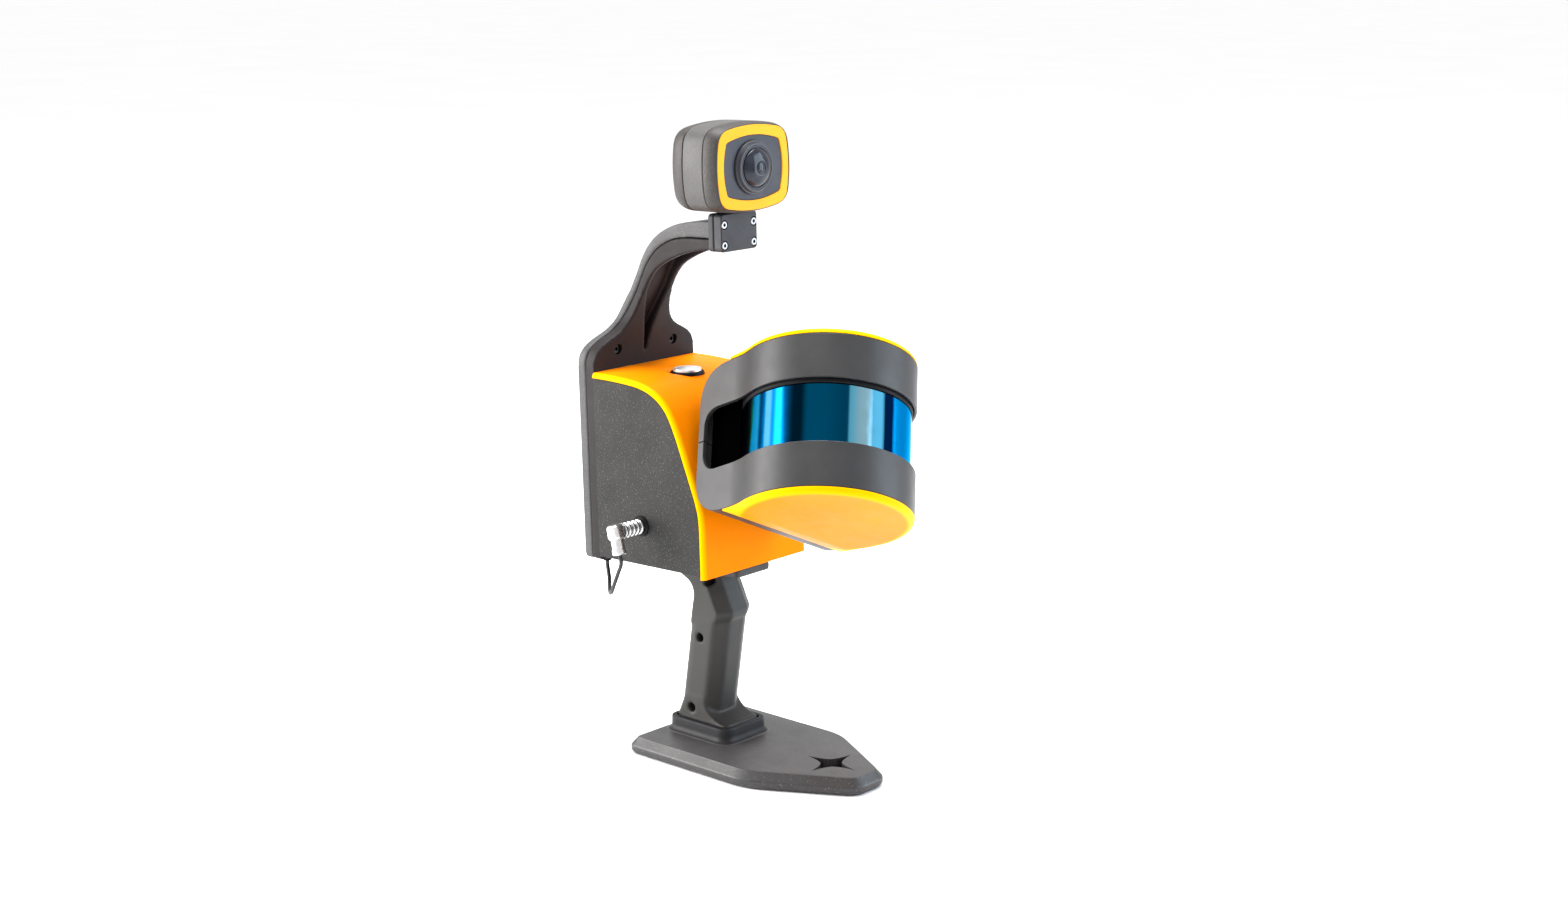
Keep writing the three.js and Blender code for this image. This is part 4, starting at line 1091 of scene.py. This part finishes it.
def head_side(half, rear, radius):
    return rounded([(-90, -half), (rear, -half, radius), (rear, half, radius), (-90, half)], 20)


def head_block(radius, side, rear, height, corner):
    """The head's plan and its side view run through each other."""
    return common(prism(head_plan(radius, side, rear), -height, height),
                  prism(head_side(height, rear, corner), -70, 70, ACROSS))


def make_head_shells():
    side, rear, height, wall = (SHELL[k] for k in ("side", "rear", "height", "wall"))
    lids = {"head_shell_upper": (GAP / 2, 80), "head_shell_lower": (-80, -GAP / 2)}
    for node, (low, high) in lids.items():
        outer = head_block(SHELL["radius"], side, rear, height, SHELL["round"])
        hollow = head_block(PUCK["radius"] + 0.5, side - wall, rear - wall, height - SHELL["lid"],
                            SHELL["round"] - wall)
        slot = prism(head_side(SHELL["slot"], SHELL["slot_rear"], SHELL["slot_round"]), -70, 70, ACROSS)
        wires = along_back(rod(5.2, 50, 70))
        casing = cut(outer, hollow, slot, wires)
        keep = prism(rectangle(-80, 80, -80, 80), low, high)
        piece(bevelled(common(casing, keep), 0.8, 3, 45), node, "head_grey", 30, HEAD)


def cap_fall(start, top):
    """Side view that lets the cap's rear fall away to a thin edge."""
    rear, thick = CAP["rear"], CAP["thick"]
    fall = [(-70, start - 1), (-70, top + 1), (rear - CAP["flat"], top + 1)]
    for k in range(9):
        angle = k / 8 * pi / 2
        height = start + 1 + (thick - 1) * cos(angle) ** 0.8
        fall.append((rear - CAP["fall"] * cos(angle), height))
    return fall + [(rear + 1, start + 0.8), (rear + 1, start - 1)]


def make_caps():
    thick, bevel = CAP["thick"], CAP["bevel"]
    start = SHELL["height"] + GAP
    top = start + thick
    plan = head_plan(SHELL["radius"], SHELL["side"], CAP["rear"])
    levels = [(start, 0), (start + 0.3, 0)]
    for k in range(1, 8):
        angle = k / 8 * pi / 2
        levels.append((start + 0.3 + (thick - 0.3) * sin(angle), bevel * (1 - cos(angle))))
    levels.append((top, bevel * 1.15))
    fall = cap_fall(start, top)
    for node, turn in (("head_cap_upper", 0), ("head_cap_lower", pi)):
        blank = common(stacked(plan, [(h, -inset) for h, inset in levels]), prism(fall, -70, 70, ACROSS))
        cap = moved(blank, Matrix.Rotation(turn, 4, "Y"))
        piece(cap, node, "cap_orange", 40, HEAD)


def make_puck():
    radius, glass, top = PUCK["radius"], PUCK["glass"], PUCK["top"]
    low, high = PUCK["glass_bottom"], PUCK["glass_top"]
    base = turned([
        (0, 4.1 - SHELL["height"]), (33, 4.1 - SHELL["height"]), (33, -top), (radius, -top),
        (radius, low - GAP - 0.5), (radius - 0.5, low - GAP), (0, low - GAP),
    ], 160)
    piece(base, "lidar_base", "black", place=HEAD)
    window = turned([
        (47, low), (glass - 0.4, low), (glass, low + 0.4), (glass, high - 0.4), (glass - 0.4, high),
        (47, high), (47, low),
    ], 192)
    piece(window, "lidar_window", "window", place=HEAD)
    lid = turned([
        (0, high + GAP), (radius - 0.5, high + GAP), (radius, high + GAP + 0.5), (radius, top - 2),
        (radius - 2, top), (0, top),
    ], 160)
    piece(lid, "lidar_top", "black", place=HEAD)


# ---- nodes that keep the CAD's shape ----
DRESSED = {
    "dark_screw": ("handle_screw_top", "handle_screw_middle", "handle_screw_bottom"),
    "screw": ("handle_bolt_left", "handle_bolt_right"),
    "dark_plastic": ("bottom_cover", "drive_motor"),
    "board": ("camera_board", "main_board"),
    "black": ("lidar_rotor", "slip_ring"),
    # The head's core takes the painted shade black of the slot.
    "shade_black": ("head_core",),
    "alloy": ("drive_bracket", "head_gear", "head_spindle"),
    "steel": ("bearing_front", "bearing_rear", "motor_pinion"),
}


def make_inside():
    for look, nodes in DRESSED.items():
        for node in nodes:
            dressed(node, look)


# ---- studio ----
VIEW = {"azimuth": -48.67, "elevation": 12.89, "sensor": 36, "lens": 54.73, "distance": 1.4375,
        "middle": (-0.0008, -0.0093, 0.2011)}
FLOOR = {"half": 30, "level": -0.0002}
# Soft boxes: place, size, power and colour.
LIGHTS = {
    "left_box": ((-1.0, 1.15, 0.55), (0.9, 1.3), 46, (1.0, 0.98, 0.96)),
    "right_box": ((1.0, -1.15, 0.5), (0.9, 1.3), 22, (0.72, 0.86, 1.0)),
    "top_box": ((0.1, 0.2, 1.8), (1.2, 1.2), 56, (1, 1, 1)),
}
LIT_SPOT = (0, 0.02, 0.22)


def look_at(item, spot):
    item.rotation_mode = "QUATERNION"
    item.rotation_quaternion = (Vector(spot) - item.location).to_track_quat("-Z", "Y")


def make_camera_view():
    azimuth, elevation = radians(VIEW["azimuth"]), radians(VIEW["elevation"])
    back = Vector((sin(azimuth) * cos(elevation), -cos(azimuth) * cos(elevation),
                   sin(elevation)))
    lens = bpy.data.cameras.new("view")
    lens.sensor_width = VIEW["sensor"]
    lens.lens = VIEW["lens"]
    lens.clip_end = 100
    seen = linked("view", lens)
    seen.location = Vector(VIEW["middle"]) + back * VIEW["distance"]
    look_at(seen, seen.location - back)
    bpy.context.scene.camera = seen


def soft_box(name, spot, size, power, colour):
    light = bpy.data.lights.new(name, "AREA")
    light.shape = "RECTANGLE"
    light.size, light.size_y = size
    light.energy = power
    light.color = colour
    lamp = linked(name, light)
    lamp.location = spot
    look_at(lamp, LIT_SPOT)


def make_studio():
    shader = Shader("floor_paper")
    shader.colour(shader.ramp(shader.noise(300, 2), (0.3, 0.97), (0.7, 0.99)))
    shader.roughness(shader.ramp(shader.noise(4, 2), (0.3, 0.85), (0.7, 0.95)))
    half, level = FLOOR["half"], FLOOR["level"]
    floor = mesh_object("floor", [(-half, -half, level), (half, -half, level), (half, half, level),
                                  (-half, half, level)], [(0, 1, 2, 3)])
    floor.data.materials.append(shader.material)
    world = bpy.data.worlds.new("studio")
    world.use_nodes = True
    world.node_tree.nodes["Background"].inputs["Color"].default_value = (1, 1, 1, 1)
    world.node_tree.nodes["Background"].inputs["Strength"].default_value = 1.0
    bpy.context.scene.world = world
    for name, settings in LIGHTS.items():
        soft_box(name, *settings)
    bpy.context.scene.view_settings.view_transform = "Standard"
    bpy.context.scene.view_settings.look = "None"


make_camera_view()
make_base()
make_handle()
make_shell()
make_cheeks()
make_button()
make_arm()
make_clamp()
make_camera()
make_plug()
make_head_shells()
make_caps()
make_puck()
make_inside()
make_studio()
